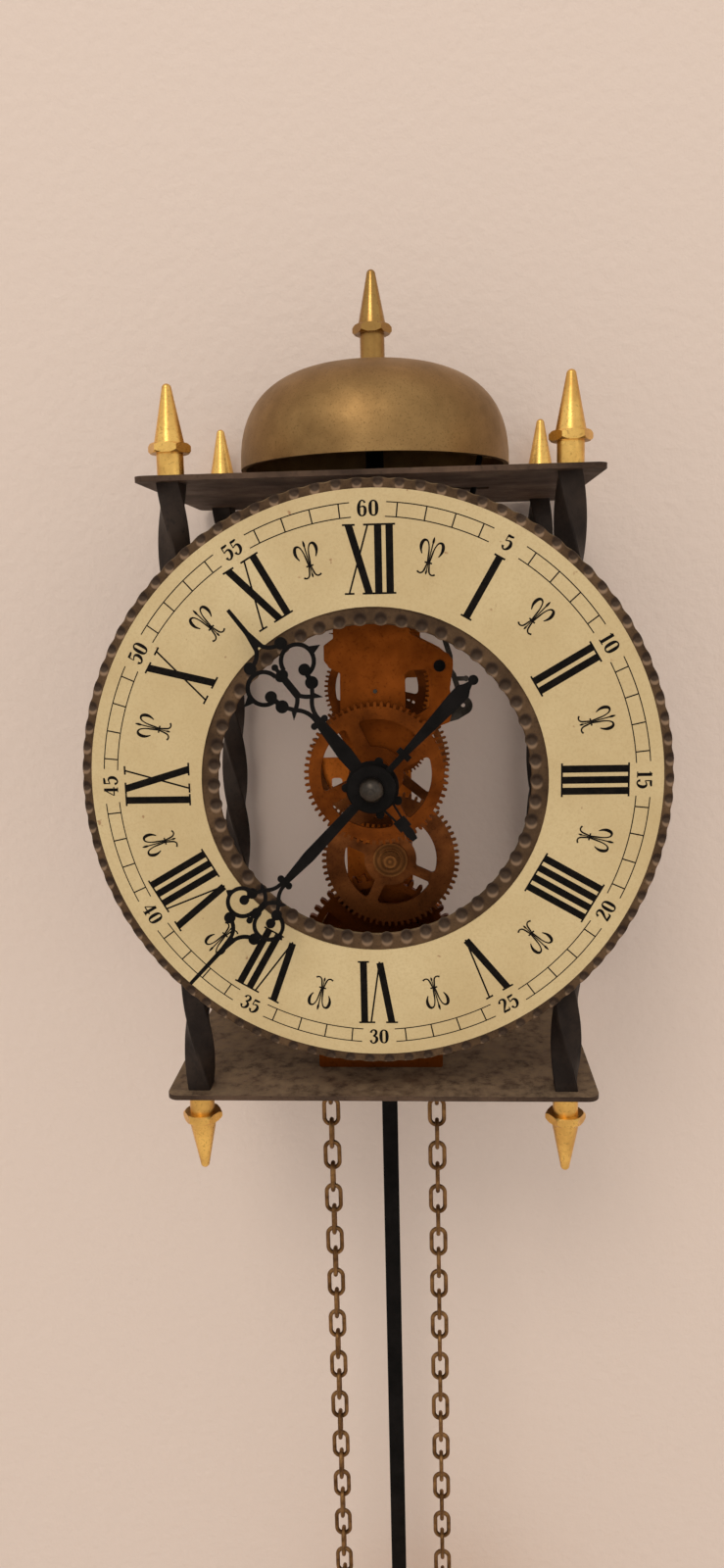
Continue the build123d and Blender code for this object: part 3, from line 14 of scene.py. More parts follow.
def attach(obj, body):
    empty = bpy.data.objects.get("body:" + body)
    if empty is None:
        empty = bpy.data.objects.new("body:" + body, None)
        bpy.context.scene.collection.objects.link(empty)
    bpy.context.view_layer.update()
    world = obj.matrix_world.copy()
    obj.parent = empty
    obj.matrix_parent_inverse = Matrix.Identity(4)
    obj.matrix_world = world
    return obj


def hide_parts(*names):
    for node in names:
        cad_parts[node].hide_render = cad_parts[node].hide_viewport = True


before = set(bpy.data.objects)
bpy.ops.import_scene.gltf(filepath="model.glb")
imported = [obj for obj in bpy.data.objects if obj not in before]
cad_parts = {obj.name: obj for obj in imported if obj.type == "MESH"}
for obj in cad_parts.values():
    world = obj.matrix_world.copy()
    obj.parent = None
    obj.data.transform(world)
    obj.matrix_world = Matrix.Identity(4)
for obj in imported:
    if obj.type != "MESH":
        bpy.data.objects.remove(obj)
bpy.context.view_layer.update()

# %% [markdown]
# Every size is given in millimetres from the middle of the dial, because that is how a clockmaker would
# lay it out: x to the right, y back to the wall, z up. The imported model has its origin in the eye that
# the clock hangs by, so one function moves a point from the dial to the eye.

# %% Millimetres from the middle of the dial
MM = 0.001
DIAL_Y = -97.75
DIAL_Z = -74.0


def at(x, y, z):
    return Vector((x, y + DIAL_Y, z + DIAL_Z)) * MM


print("dial centre", at(0, 0, 0))

# %% [markdown]
# The camera stands a little right of the middle, 30 cm from the dial, and looks slightly down. A camera
# in Blender looks along its own -Z with +Y up, so its turning comes from three directions: right, up and
# back. The lens follows from the focal length in pixels over the tall side of the picture.

# %% Camera
FOCAL_PIXELS = 1101.36
TALL_SIDE_PIXELS = 1600
SENSOR_MM = 36.0
NEAREST = 0.01
LENS_PLACE = (15.34, -302.74, 49.82)
view_right = Vector((0.99807, 0.05772, -0.02308))
view_down = Vector((-0.01332, -0.16407, -0.98636))
view_forward = Vector((-0.06072, 0.98476, -0.16298))
camera = bpy.data.objects.new("camera", bpy.data.cameras.new("camera"))
camera.data.sensor_width = SENSOR_MM
camera.data.lens = SENSOR_MM * FOCAL_PIXELS / TALL_SIDE_PIXELS
camera.data.clip_start = NEAREST
turning = Matrix((view_right, -view_down, -view_forward)).transposed()
camera.matrix_world = Matrix.Translation(at(*LENS_PLACE)) @ turning.to_4x4()
bpy.context.collection.objects.link(camera)
bpy.context.scene.camera = camera
print("lens", round(camera.data.lens, 2), "mm")

# %% [markdown]
# Every finish below is a material wired from nodes, so a few helpers come first. They start a material,
# add a node with its values, and feed a socket with either another node's output or a plain value. With
# them, a finish reads as a short list of what it is made of.

# %% Helpers for any node
def new_material(name):
    material = bpy.data.materials.new(name)
    material.use_nodes = True
    return material, material.node_tree.nodes, material.node_tree.links


def add(nodes, kind, **values):
    """Adds a node; a value named like one of its settings sets it, any other goes to a socket."""
    made = nodes.new(kind)
    for key, value in values.items():
        if hasattr(made, key):
            setattr(made, key, value)
        else:
            made.inputs[key.replace("_", " ")].default_value = value
    return made


def feed(links, value, socket):
    """Fills a socket with another node's output, or with a plain value."""
    if hasattr(value, "is_output"):
        links.new(value, socket)
    else:
        socket.default_value = value


print("helpers", [helper.__name__ for helper in (new_material, add, feed)])

# %% [markdown]
# Six things are wanted again and again: the place on the piece, a cloudy noise, a step of arithmetic, a
# ramp from one colour to the next, a mix of two colours, and dents for the light to catch. The place is
# always in Object coordinates, so a pattern stays on its piece when the piece moves.

# %% Helpers for patterns
BLACK = (0, 0, 0, 1)
WHITE = (1, 1, 1, 1)


def object_place(nodes):
    return add(nodes, "ShaderNodeTexCoord").outputs["Object"]


def noise(nodes, links, place, scale, detail, roughness):
    made = add(nodes, "ShaderNodeTexNoise", Scale=scale, Detail=detail, Roughness=roughness)
    links.new(place, made.inputs["Vector"])
    return made.outputs["Fac"]


def maths(nodes, links, operation, first, second=None):
    made = add(nodes, "ShaderNodeMath", operation=operation)
    feed(links, first, made.inputs[0])
    if second is not None:
        feed(links, second, made.inputs[1])
    return made.outputs[0]


def ramp(nodes, links, value, edges, colours=(BLACK, WHITE)):
    """Goes from the first colour to the last while the value goes from edge to edge."""
    made = nodes.new("ShaderNodeValToRGB")
    links.new(value, made.inputs["Fac"])
    for element, edge, colour in zip(made.color_ramp.elements, edges, colours):
        element.position = edge
        element.color = colour
    return made.outputs["Color"]


def mix(nodes, links, factor, first, second):
    made = add(nodes, "ShaderNodeMix", data_type="RGBA")
    feed(links, factor, made.inputs[0])
    feed(links, first, made.inputs[6])
    feed(links, second, made.inputs[7])
    return made.outputs[2]


def dents_from(nodes, links, height, strength, distance, under=None):
    """Dents from a pattern, on top of the dents under them if there are any."""
    made = add(nodes, "ShaderNodeBump", Strength=strength, Distance=distance)
    links.new(height, made.inputs["Height"])
    if under is not None:
        links.new(under, made.inputs["Normal"])
    return made.outputs["Normal"]


print("a ramp goes from", BLACK, "to", WHITE, "unless told otherwise")

# %% [markdown]
# A clock hangs on a wall, so the backdrop is a painted wall just behind it, with a pale floor far below.
# A paint roller leaves a fine grain, which is a noise used as dents. Seen from behind, the wall would
# hide the clock, so its back is see-through.

# %% Wall and floor
WALL_Y = 0.0009
LEFT, RIGHT = -3.0, 3.0
FLOOR_Z = -0.9
CEILING_Z = 3.0
ROOM_FRONT = -4.0


def flat_sheet(name, corners):
    sheet = bmesh.new()
    sheet.faces.new([sheet.verts.new(corner) for corner in corners])
    mesh = bpy.data.meshes.new(name)
    sheet.to_mesh(mesh)
    sheet.free()
    made = bpy.data.objects.new(name, mesh)
    bpy.context.collection.objects.link(made)
    return made


wall = flat_sheet("wall", [(LEFT, WALL_Y, FLOOR_Z), (RIGHT, WALL_Y, FLOOR_Z),
                           (RIGHT, WALL_Y, CEILING_Z), (LEFT, WALL_Y, CEILING_Z)])
floor = flat_sheet("floor", [(LEFT, ROOM_FRONT, FLOOR_Z), (RIGHT, ROOM_FRONT, FLOOR_Z),
                             (RIGHT, WALL_Y, FLOOR_Z), (LEFT, WALL_Y, FLOOR_Z)])
print("wall and floor", wall.name, floor.name)

# %% Paint
paint, nodes, links = new_material("wall_paint")
shader = nodes["Principled BSDF"]
shader.inputs["Base Color"].default_value = (0.725, 0.60, 0.52, 1)
shader.inputs["Roughness"].default_value = 0.8
roller = noise(nodes, links, object_place(nodes), 260.0, 3.0, 0.55)
links.new(dents_from(nodes, links, roller, 0.5, 0.0008), shader.inputs["Normal"])
side = add(nodes, "ShaderNodeNewGeometry")
clear = add(nodes, "ShaderNodeBsdfTransparent")
choose = add(nodes, "ShaderNodeMixShader")
links.new(side.outputs["Backfacing"], choose.inputs["Fac"])
links.new(shader.outputs["BSDF"], choose.inputs[1])
links.new(clear.outputs["BSDF"], choose.inputs[2])
links.new(choose.outputs["Shader"], nodes["Material Output"].inputs["Surface"])
wall.data.materials.append(paint)
floor_paint, nodes, links = new_material("floor_paint")
nodes["Principled BSDF"].inputs["Base Color"].default_value = (0.78, 0.74, 0.70, 1)
nodes["Principled BSDF"].inputs["Roughness"].default_value = 0.7
floor.data.materials.append(floor_paint)
print("paints", paint.name, floor_paint.name)

# %% [markdown]
# The light is one wide lamp above, a weak one at the side, and an even pale sky. A wide lamp gives the
# soft shadow under the plates and a soft highlight on the bell.

# %% Lamps and sky
LIT_PLACE = (0, -0.05, -0.1)
SKY_STRENGTH = 0.84


def soft_lamp(name, place, size, watts, colour):
    lamp = bpy.data.lights.new(name, "AREA")
    lamp.shape = "DISK"
    lamp.size = size
    lamp.energy = watts
    lamp.color = colour
    made = bpy.data.objects.new(name, lamp)
    made.location = place
    towards = Vector(LIT_PLACE) - Vector(place)
    made.rotation_euler = towards.to_track_quat("-Z", "Y").to_euler()
    bpy.context.collection.objects.link(made)


soft_lamp("ceiling_lamp", (-0.55, -2.1, 2.1), 1.2, 24.5, (1.0, 0.92, 0.82))
soft_lamp("side_lamp", (1.3, -1.2, 0.3), 0.9, 0.4, (1.0, 0.93, 0.86))
sky = bpy.data.worlds.new("sky")
sky.use_nodes = True
sky.node_tree.nodes["Background"].inputs["Color"].default_value = (1.0, 0.97, 0.94, 1)
sky.node_tree.nodes["Background"].inputs["Strength"].default_value = SKY_STRENGTH
bpy.context.scene.world = sky
bpy.context.scene.view_settings.view_transform = "Standard"

# %% [markdown]
# Dust lies on whatever faces up, in patches. How much of it lies at a point is therefore a product of
# two ramps: one of the surface's upward part, and one of a noise. Turned brass has fine grooves from the
# lathe, which are bands across the height of the piece.

# %% Dust and lathe marks
FULL_DUST_FROM = 0.98
DUST_PATCH = (0.3, 0.62)
FLAKES_TO_GRAIN = 0.35


def settled_dust(nodes, links, place, grain, dust_from):
    facing = add(nodes, "ShaderNodeNewGeometry")
    split = add(nodes, "ShaderNodeSeparateXYZ")
    links.new(facing.outputs["Normal"], split.inputs["Vector"])
    level = ramp(nodes, links, split.outputs["Z"], (dust_from, FULL_DUST_FROM))
    flakes = noise(nodes, links, place, grain * FLAKES_TO_GRAIN, 5.0, 0.7)
    patch = ramp(nodes, links, flakes, DUST_PATCH)
    return maths(nodes, links, "MULTIPLY", level, patch)


def lathe_marks(nodes, links, place, grooves, under):
    lathe = add(nodes, "ShaderNodeTexWave", wave_type="BANDS", bands_direction="Z", Scale=grooves,
                Distortion=0.6)
    links.new(place, lathe.inputs["Vector"])
    return dents_from(nodes, links, lathe.outputs["Fac"], 0.05, 0.0001, under)


print("dust patches", DUST_PATCH)

# %% [markdown]
# Old clock metal is never one colour. Lacquer wears through, brass tans and iron goes brown. One function
# makes such a metal from a light and a dark shade mixed by a cloudy noise, finer specks of tarnish, small
# dents, and dust if it is asked for. Where the shade is dark, the metal is rough as well, and where dust
# lies it is no longer metal.

# %% Aged metal
CLOUD_EDGES = (0.35, 0.68)
SPECK_EDGES = (0.56, 0.72)
SPECK_SHARE = 0.55
TARNISH_SHADE = 0.55


def aged_metal(name, light, dark, rough, metallic=1.0, cloud=45.0, grain=900.0, dents=0.12,
               dust=None, dust_from=0.55, grooves=0.0, shine=0.5):
    material, nodes, links = new_material(name)
    shader = nodes["Principled BSDF"]
    shader.inputs["Metallic"].default_value = metallic
    shader.inputs["Specular IOR Level"].default_value = shine
    place = object_place(nodes)
    specks = noise(nodes, links, place, grain, 2.0, 0.6)
    shade = ramp(nodes, links, noise(nodes, links, place, cloud, 6.0, 0.62), CLOUD_EDGES)
    tarnish = tuple(TARNISH_SHADE * part for part in dark)
    speck = maths(nodes, links, "MULTIPLY", ramp(nodes, links, specks, SPECK_EDGES), SPECK_SHARE)
    colour = mix(nodes, links, shade, (*dark, 1), (*light, 1))
    colour = mix(nodes, links, speck, colour, (*tarnish, 1))
    gloss = add(nodes, "ShaderNodeMapRange", To_Min=rough[1], To_Max=rough[0])
    links.new(shade, gloss.inputs["Value"])
    roughness = gloss.outputs["Result"]
    if dust:
        amount = settled_dust(nodes, links, place, grain, dust_from)
        colour = mix(nodes, links, amount, colour, (*dust, 1))
        metal = add(nodes, "ShaderNodeMapRange", To_Min=metallic, To_Max=0.0)
        links.new(amount, metal.inputs["Value"])
        links.new(metal.outputs["Result"], shader.inputs["Metallic"])
        roughness = maths(nodes, links, "MAXIMUM", roughness, amount)
    normal = dents_from(nodes, links, specks, dents, 0.0003)
    if grooves:
        normal = lathe_marks(nodes, links, place, grooves, normal)
    links.new(colour, shader.inputs["Base Color"])
    links.new(roughness, shader.inputs["Roughness"])
    links.new(normal, shader.inputs["Normal"])
    return material


print("tarnish is the dark shade times", TARNISH_SHADE)

# %% [markdown]
# The case is blackened iron with dust and rust on it. The plates are browner than the twisted bars, and
# the hammered rim of the dial is the brownest. The hands are painted black and hardly shine.

# %% Iron and steel
case_iron = aged_metal("case_iron", (0.11, 0.065, 0.040), (0.035, 0.020, 0.013), (0.55, 0.78), 0.25,
                       cloud=60, grain=700, dents=0.35, dust=(0.20, 0.135, 0.08), dust_from=0.5,
                       shine=0.22)
pillar_iron = aged_metal("pillar_iron", (0.032, 0.019, 0.012), (0.011, 0.006, 0.004), (0.5, 0.72),
                         0.25, cloud=60, grain=700, dents=0.3, dust=(0.24, 0.16, 0.10),
                         dust_from=0.6, shine=0.25)
rim_iron = aged_metal("rim_iron", (0.130, 0.073, 0.034), (0.052, 0.028, 0.013), (0.55, 0.75), 0.35,
                      cloud=90, grain=1400, dents=0.3, dust=(0.20, 0.135, 0.066), dust_from=0.35,
                      shine=0.25)
arbor_steel = aged_metal("arbor_steel", (0.46, 0.42, 0.37), (0.24, 0.20, 0.16), (0.25, 0.45),
                         cloud=120, grain=1500, dents=0.05)
nut_steel = aged_metal("nut_steel", (0.085, 0.072, 0.060), (0.036, 0.030, 0.025), (0.3, 0.46),
                       cloud=160, grain=1500, dents=0.1)
dark_steel = aged_metal("dark_steel", (0.08, 0.068, 0.056), (0.030, 0.025, 0.020), (0.34, 0.52),
                        cloud=160, grain=1500, dents=0.1)
hand_black = aged_metal("hand_black", (0.008, 0.0065, 0.006), (0.003, 0.0026, 0.0022), (0.5, 0.68),
                        0.1, cloud=110, grain=1500, dents=0.12, shine=0.07)
lead_grey = aged_metal("lead_grey", (0.30, 0.30, 0.31), (0.20, 0.20, 0.21), (0.5, 0.7), 0.8)
print("irons", [metal.name for metal in (case_iron, pillar_iron, rim_iron)])

# %% [markdown]
# Only the finials, the weight and the pendulum's bob still shine like gold. The bell is dull and greenish
# brown, and the lacquer on the movement has gone deep orange. The back plate gets a lighter brass than
# the front one, painted light that makes up for the shade of everything before it, so that it still
# shows.

# %% Brass and bronze
finial_brass = aged_metal("finial_brass", (0.95, 0.60, 0.17), (0.60, 0.34, 0.09), (0.2, 0.38),
                          cloud=80, grain=1200, dents=0.05, grooves=900)
shell_brass = aged_metal("shell_brass", (0.93, 0.59, 0.17), (0.80, 0.49, 0.135), (0.24, 0.34),
                         cloud=28, grain=1200, dents=0.05, grooves=900)
bell_metal = aged_metal("bell_metal", (0.34, 0.205, 0.080), (0.20, 0.115, 0.044), (0.42, 0.56),
                        cloud=38, grain=1800, dents=0.1)
plate_brass = aged_metal("plate_brass", (0.245, 0.061, 0.0085), (0.145, 0.034, 0.0047), (0.36, 0.55),
                         cloud=70, grain=1100, dents=0.08)
# The back plate's brass is painted lighter than the plate brass, against the shade it stands in.
lightened_back_brass = aged_metal("lightened_back_brass", (0.74, 0.215, 0.032), (0.50, 0.135, 0.018), (0.38, 0.58),
                        cloud=70, grain=1100, dents=0.08)
wheel_brass = aged_metal("wheel_brass", (0.215, 0.056, 0.009), (0.095, 0.024, 0.005), (0.34, 0.55),
                         cloud=85, grain=1500, dents=0.08)
# Wheel brass painted darker: painted shade for the two wheels that sit in the shade of the parts before
# them.
shaded_wheel_brass = aged_metal("shaded_wheel_brass", (0.25, 0.082, 0.022), (0.09, 0.028, 0.009), (0.4, 0.65),
                        cloud=85, grain=1500, dents=0.12)
chain_brass = aged_metal("chain_brass", (0.30, 0.165, 0.065), (0.11, 0.052, 0.020), (0.38, 0.6),
                         cloud=260, grain=1600, dents=0.12)
bronze = aged_metal("bronze", (0.34, 0.145, 0.042), (0.18, 0.07, 0.022), (0.35, 0.55),
                    cloud=120, grain=1500, dents=0.08)
print("brasses", [m.name for m in bpy.data.materials if "brass" in m.name])

# %% [markdown]
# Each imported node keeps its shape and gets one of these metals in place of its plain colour.

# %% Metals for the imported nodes
FINISHES = {
    case_iron: ["top_plate", "bottom_plate"],
    pillar_iron: ["front_pillars", "rear_pillars", "wall_hanger", "wall_spacers"],
    finial_brass: ["finials", "rating_nut", "weight_hook", "hammer_head"],
    shell_brass: ["weight_shell", "pendulum_bob"],
    bell_metal: ["bell"],
    plate_brass: ["front_plate", "lower_bridge", "movement_pillars", "movement_brackets",
                  "cannon_pinion", "crutch", "suspension_post"],
    lightened_back_brass: ["back_plate"],
    wheel_brass: ["great_wheel", "chain_wheel", "centre_pinion", "minute_wheel", "hour_wheel",
                  "dial_wheel", "third_wheel", "escape_wheel"],
    # Painted shade: these two wheels get the darker brass.
    shaded_wheel_brass: ["intermediate_wheel", "centre_wheel"],
    bronze: ["intermediate_pinion", "intermediate_stud", "retaining_clip"],
    chain_brass: ["chain", "pull_ring"],
    nut_steel: ["hand_nut", "centre_arbor"],
    dark_steel: ["lifting_lever", "third_pinion", "escape_pinion"],
    hand_black: ["hour_hand", "minute_hand", "hand_disc", "pendulum_rod", "screw_heads",
                 "hammer_rod", "bell_post"],
    lead_grey: ["weight_filling"],
    arbor_steel: ["dial_studs", "great_arbor", "ratchet_wheel", "click", "click_spring", "anchor",
                  "anchor_arbor", "suspension_spring", "hammer_arbor"],
    rim_iron: ["dial_ring"],
}
for finish, names in FINISHES.items():
    for name in names:
        for material_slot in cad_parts[name].material_slots:
            material_slot.material = finish
print("finished", sum(len(names) for names in FINISHES.values()), "nodes")

# %% [markdown]
# The chapter ring is a sheet of painted metal, cream gone yellow with age, with brown freckles and a few
# rust spots. It is flat, so paint noise alone makes it look real: a cloudy tone, fine speckle, and
# sparse spots cut out of a noise by a steep ramp.

# %% Cream enamel
CREAMS = ((0.52, 0.385, 0.185, 1), (0.63, 0.495, 0.265, 1))
SPECKLE_BROWN = (0.45, 0.31, 0.14, 1)
FRECKLE_BROWN = (0.30, 0.15, 0.06, 1)
HALF_COVER = (0.5, 0.5, 0.5, 1)
MOST_COVER = (0.8, 0.8, 0.8, 1)
cream, nodes, links = new_material("cream_enamel")
shader = nodes["Principled BSDF"]
place = object_place(nodes)
tone = noise(nodes, links, place, 28.0, 5.0, 0.6)
speckle = noise(nodes, links, place, 1500.0, 2.0, 0.7)
freckle = noise(nodes, links, place, 330.0, 2.0, 0.5)
colour = ramp(nodes, links, tone, (0.3, 0.72), CREAMS)
cover = ramp(nodes, links, speckle, (0.45, 0.8), (BLACK, HALF_COVER))
colour = mix(nodes, links, cover, colour, SPECKLE_BROWN)
cover = ramp(nodes, links, freckle, (0.735, 0.78), (BLACK, MOST_COVER))
colour = mix(nodes, links, cover, colour, FRECKLE_BROWN)
links.new(colour, shader.inputs["Base Color"])
shader.inputs["Roughness"].default_value = 0.42
links.new(dents_from(nodes, links, speckle, 0.15, 0.0001), shader.inputs["Normal"])
for material_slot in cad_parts["chapter_ring"].material_slots:
    material_slot.material = cream
print("chapter ring in", cream.name)

# %% [markdown]
# The hollows of the hammered ring get painted shade, so each one looks darker than the metal round it, as
# a hollow lit from above would. A mask works out, from the Object coordinates, how far a point is from
# the nearest hollow of a row: the angle is rounded to a whole step, and what is left over is the way
# along the row.

# %% A mask for a row of hollows
INNER_DENTS = 50
OUTER_DENTS = 90
INNER_ROW = 46.1
OUTER_ROW = 83.4
FADE_FROM = 0.6


def length_of(nodes, links, **parts):
    """The length of a vector whose parts are outputs of other nodes."""
    vector = nodes.new("ShaderNodeCombineXYZ")
    for axis, part in parts.items():
        links.new(part, vector.inputs[axis])
    length = add(nodes, "ShaderNodeVectorMath", operation="LENGTH")
    links.new(vector.outputs["Vector"], length.inputs[0])
    return length.outputs["Value"]


def hollow_mask(nodes, links, across, up, radius, count, width):
    """One in the middle of each hollow of a row round the dial, and nothing outside it."""
    turn = maths(nodes, links, "ARCTAN2", up, across)
    steps = maths(nodes, links, "MULTIPLY", turn, count / (2 * pi))
    left_over = maths(nodes, links, "SUBTRACT", steps, maths(nodes, links, "ROUND", steps))
    along = maths(nodes, links, "MULTIPLY", left_over, 2 * pi / count * radius * MM)
    reach = length_of(nodes, links, X=across, Z=up)
    outward = maths(nodes, links, "SUBTRACT", reach, radius * MM)
    fade = add(nodes, "ShaderNodeMapRange", interpolation_type="SMOOTHSTEP",
               From_Min=FADE_FROM * width * MM, From_Max=width * MM, To_Min=1.0, To_Max=0.0)
    links.new(length_of(nodes, links, X=along, Y=outward), fade.inputs["Value"])
    return fade.outputs["Result"]


print("hollows", INNER_DENTS, "and", OUTER_DENTS)

# %% [markdown]
# A tint lays a colour over a finished metal, as much as a mask says. The light falls from above, so the
# lower edge of a hollow gets a painted highlight, which is a first tint with its mask shifted down, and
# the hollow, a little raised, gets painted shade as a second tint over it.

# %% Painted shade and highlight in the hollows
# Painted shade for each hollow, and a painted highlight for its lower edge.
HOLLOW_PAINTED_SHADE = (0.030, 0.017, 0.011, 1)
HOLLOW_PAINTED_HIGHLIGHT = (0.30, 0.195, 0.12, 1)


def tint(material, amount, colour):
    """Lays a colour over a metal; the amount is a function of the metal's nodes and links."""
    nodes, links = material.node_tree.nodes, material.node_tree.links
    base = nodes["Principled BSDF"].inputs["Base Color"]
    links.new(mix(nodes, links, amount(nodes, links), base.links[0].from_socket, colour), base)


def hollows(inner_width, outer_width, lowered, strength):
    """A mask over both rows of hollows, lowered by some millimetres, for use with tint."""
    def amount(nodes, links):
        split = add(nodes, "ShaderNodeSeparateXYZ")
        links.new(object_place(nodes), split.inputs["Vector"])
        across = split.outputs["X"]
        up = maths(nodes, links, "ADD", split.outputs["Z"], (lowered - DIAL_Z) * MM)
        inner = hollow_mask(nodes, links, across, up, INNER_ROW, INNER_DENTS, inner_width)
        outer = hollow_mask(nodes, links, across, up, OUTER_ROW, OUTER_DENTS, outer_width)
        both = maths(nodes, links, "MAXIMUM", inner, outer)
        return maths(nodes, links, "MULTIPLY", both, strength)
    return amount


# First a painted highlight on the lower edge of each hollow, then painted shade over the hollow itself.
tint(rim_iron, hollows(1.9, 1.5, 0.95, 0.7), HOLLOW_PAINTED_HIGHLIGHT)
tint(rim_iron, hollows(2.2, 1.75, -0.2, 0.85), HOLLOW_PAINTED_SHADE)
print("painted_shade on", rim_iron.name)

# %% [markdown]
# Two brass pieces have a look of their own. The finial on the bell has gone brown, so everything of the
# finial brass above the bell's foot gets a dark tint, and the eight on the case stay bright. The collet
# in front of the lower wheel has turned rings round its arbor.

# %% Brown finial and turned collet
ABOVE_THE_BELL = 45.0
BROWN_SHARE = 0.75
RING_SHARE = 0.8
COLLET_MIDDLE = at(3.3, 28.0, -29.25)


def above_the_bell(nodes, links):
    split = add(nodes, "ShaderNodeSeparateXYZ")
    links.new(object_place(nodes), split.inputs["Vector"])
    higher = maths(nodes, links, "GREATER_THAN", split.outputs["Z"], ABOVE_THE_BELL * MM)
    return maths(nodes, links, "MULTIPLY", higher, BROWN_SHARE)


def collet_rings(nodes, links):
    shifted = add(nodes, "ShaderNodeVectorMath", operation="SUBTRACT")
    links.new(object_place(nodes), shifted.inputs[0])
    shifted.inputs[1].default_value = COLLET_MIDDLE
    bands = add(nodes, "ShaderNodeTexWave", wave_type="RINGS", rings_direction="Y", Scale=175.0)
    links.new(shifted.outputs["Vector"], bands.inputs["Vector"])
    return maths(nodes, links, "MULTIPLY", bands.outputs["Fac"], RING_SHARE)


tint(finial_brass, above_the_bell, (0.20, 0.105, 0.035, 1))
tint(bronze, collet_rings, (0.07, 0.028, 0.009, 1))
print("tinted", finial_brass.name, bronze.name)

# %% [markdown]
# The iron ring's two edges are hammered: a row of round dents on the inner band, and a row along the
# outer rim that pushes the edge out into lobes. A spin of a thin section makes the whole ring. Its
# points stand close together where the dents will be, and further apart between them. The ring carried
# over from the model is flat, so this one takes its place.

# %% The ring before the hammer
RING_FRONT = 0.5
RING_BACK = 2.0
SPIN_STEPS = 1080
section = [(45.3, RING_BACK), (44.9, RING_BACK), (44.7, RING_FRONT + 0.5), (44.9, RING_FRONT + 0.15)]
section += [(45.2 + 0.36 * k, RING_FRONT) for k in range(13)]
section += [(60.0, RING_FRONT), (80.6, RING_FRONT)]
section += [(81.0 + 0.3 * k, RING_FRONT - 0.02 * k) for k in range(11)]
section += [(84.25, RING_FRONT + 0.1), (84.4, RING_FRONT + 0.7), (84.2, RING_BACK), (83.8, RING_BACK)]
ring = bmesh.new()
corners = [ring.verts.new(at(r, y, 0)) for r, y in section]
edges = [ring.edges.new(pair) for pair in zip(corners, corners[1:] + corners[:1])]
bmesh.ops.spin(ring, geom=corners + edges, cent=at(0, 0, 0), axis=(0, 1, 0), angle=2 * pi,
               steps=SPIN_STEPS, use_merge=True)
print("ring points", len(ring.verts))

# %% [markdown]
# Each point of the ring is then moved by how near it is to the closest dent. The inner edge is drawn in
# a little beside each dent and the outer edge swells into a lobe, while the back stays flat.

# %% Hammer marks
DENT_WIDTH = 1.9
INNER_DEPTH = 1.05
OUTER_DEPTH = 0.75
INNER_EDGE_TO = 45.3
INNER_PULL_TO = 45.6
INNER_PULL = 0.45
LOBES_FROM = 83.9
LOBE = 0.22
LEAST_METAL = 0.15


def dent_depth(x, z, radius, count, depth):
    """How deep the nearest of a row of round dents is at this point."""
    step = 2 * pi / count
    angle = round(atan2(z, x) / step) * step
    away = hypot(x - radius * cos(angle), z - radius * sin(angle)) / DENT_WIDTH
    return depth * (1 - away * away) ** 2 if away < 1 else 0.0


for vert in ring.verts:
    x = vert.co.x / MM
    y = vert.co.y / MM - DIAL_Y
    z = vert.co.z / MM - DIAL_Z
    if y > RING_BACK - 0.1:
        continue
    r = hypot(x, z)
    turn = atan2(z, x)
    y += dent_depth(x, z, INNER_ROW, INNER_DENTS, INNER_DEPTH)
    y += dent_depth(x, z, OUTER_ROW, OUTER_DENTS, OUTER_DEPTH)
    if r < INNER_EDGE_TO:
        r -= INNER_PULL * max(0.0, cos(turn * INNER_DENTS)) * (INNER_PULL_TO - r)
    if r > LOBES_FROM:
        r += LOBE * cos(turn * OUTER_DENTS)
    vert.co = at(r * cos(turn), min(y, RING_BACK - LEAST_METAL), r * sin(turn))
print("deepest inner dent", INNER_DEPTH, "mm")

# %% [markdown]
# A finished bmesh becomes an object with its faces pointing outwards, and it rides on the body that
# carries it, so that it moves with it in every pose.

# %% Hammered ring
def finish_mesh(name, shape, body, material, smooth=True):
    """Turns a bmesh into an object that rides on a body."""
    bmesh.ops.recalc_face_normals(shape, faces=shape.faces)
    mesh = bpy.data.meshes.new(name)
    shape.to_mesh(mesh)
    shape.free()
    for face in mesh.polygons:
        face.use_smooth = smooth
    mesh.materials.append(material)
    made = bpy.data.objects.new(name, mesh)
    bpy.context.collection.objects.link(made)
    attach(made, body)
    return made


hammered_ring = finish_mesh("hammered_ring", ring, "case", rim_iron)
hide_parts("dial_ring")
print("hammered ring", len(hammered_ring.data.polygons), "faces")

# %% [markdown]
# The dial is printed in black. The ink is nearly black with a slightly worn, brownish cloud in it, and
# it hardly shines.

# %% Ink
ink, nodes, links = new_material("dial_ink")
shader = nodes["Principled BSDF"]
faded = noise(nodes, links, object_place(nodes), 600.0, 3.0, 0.6)
INKS = ((0.0025, 0.002, 0.0015, 1), (0.010, 0.007, 0.005, 1))
links.new(ramp(nodes, links, faded, (0.35, 0.8), INKS), shader.inputs["Base Color"])
shader.inputs["Roughness"].default_value = 0.6
shader.inputs["Specular IOR Level"].default_value = 0.07
print("ink", ink.name)

# %% [markdown]
# Print has no thickness to speak of, so each mark is drawn as a pen stroke, a curve whose points have a
# half width each, turned into a mesh and pressed flat on the enamel. Strokes that swell and thin give the
# fat-faced numerals and the curls of the ornaments.

# %% Pen strokes
CURVE_STEPS = 5


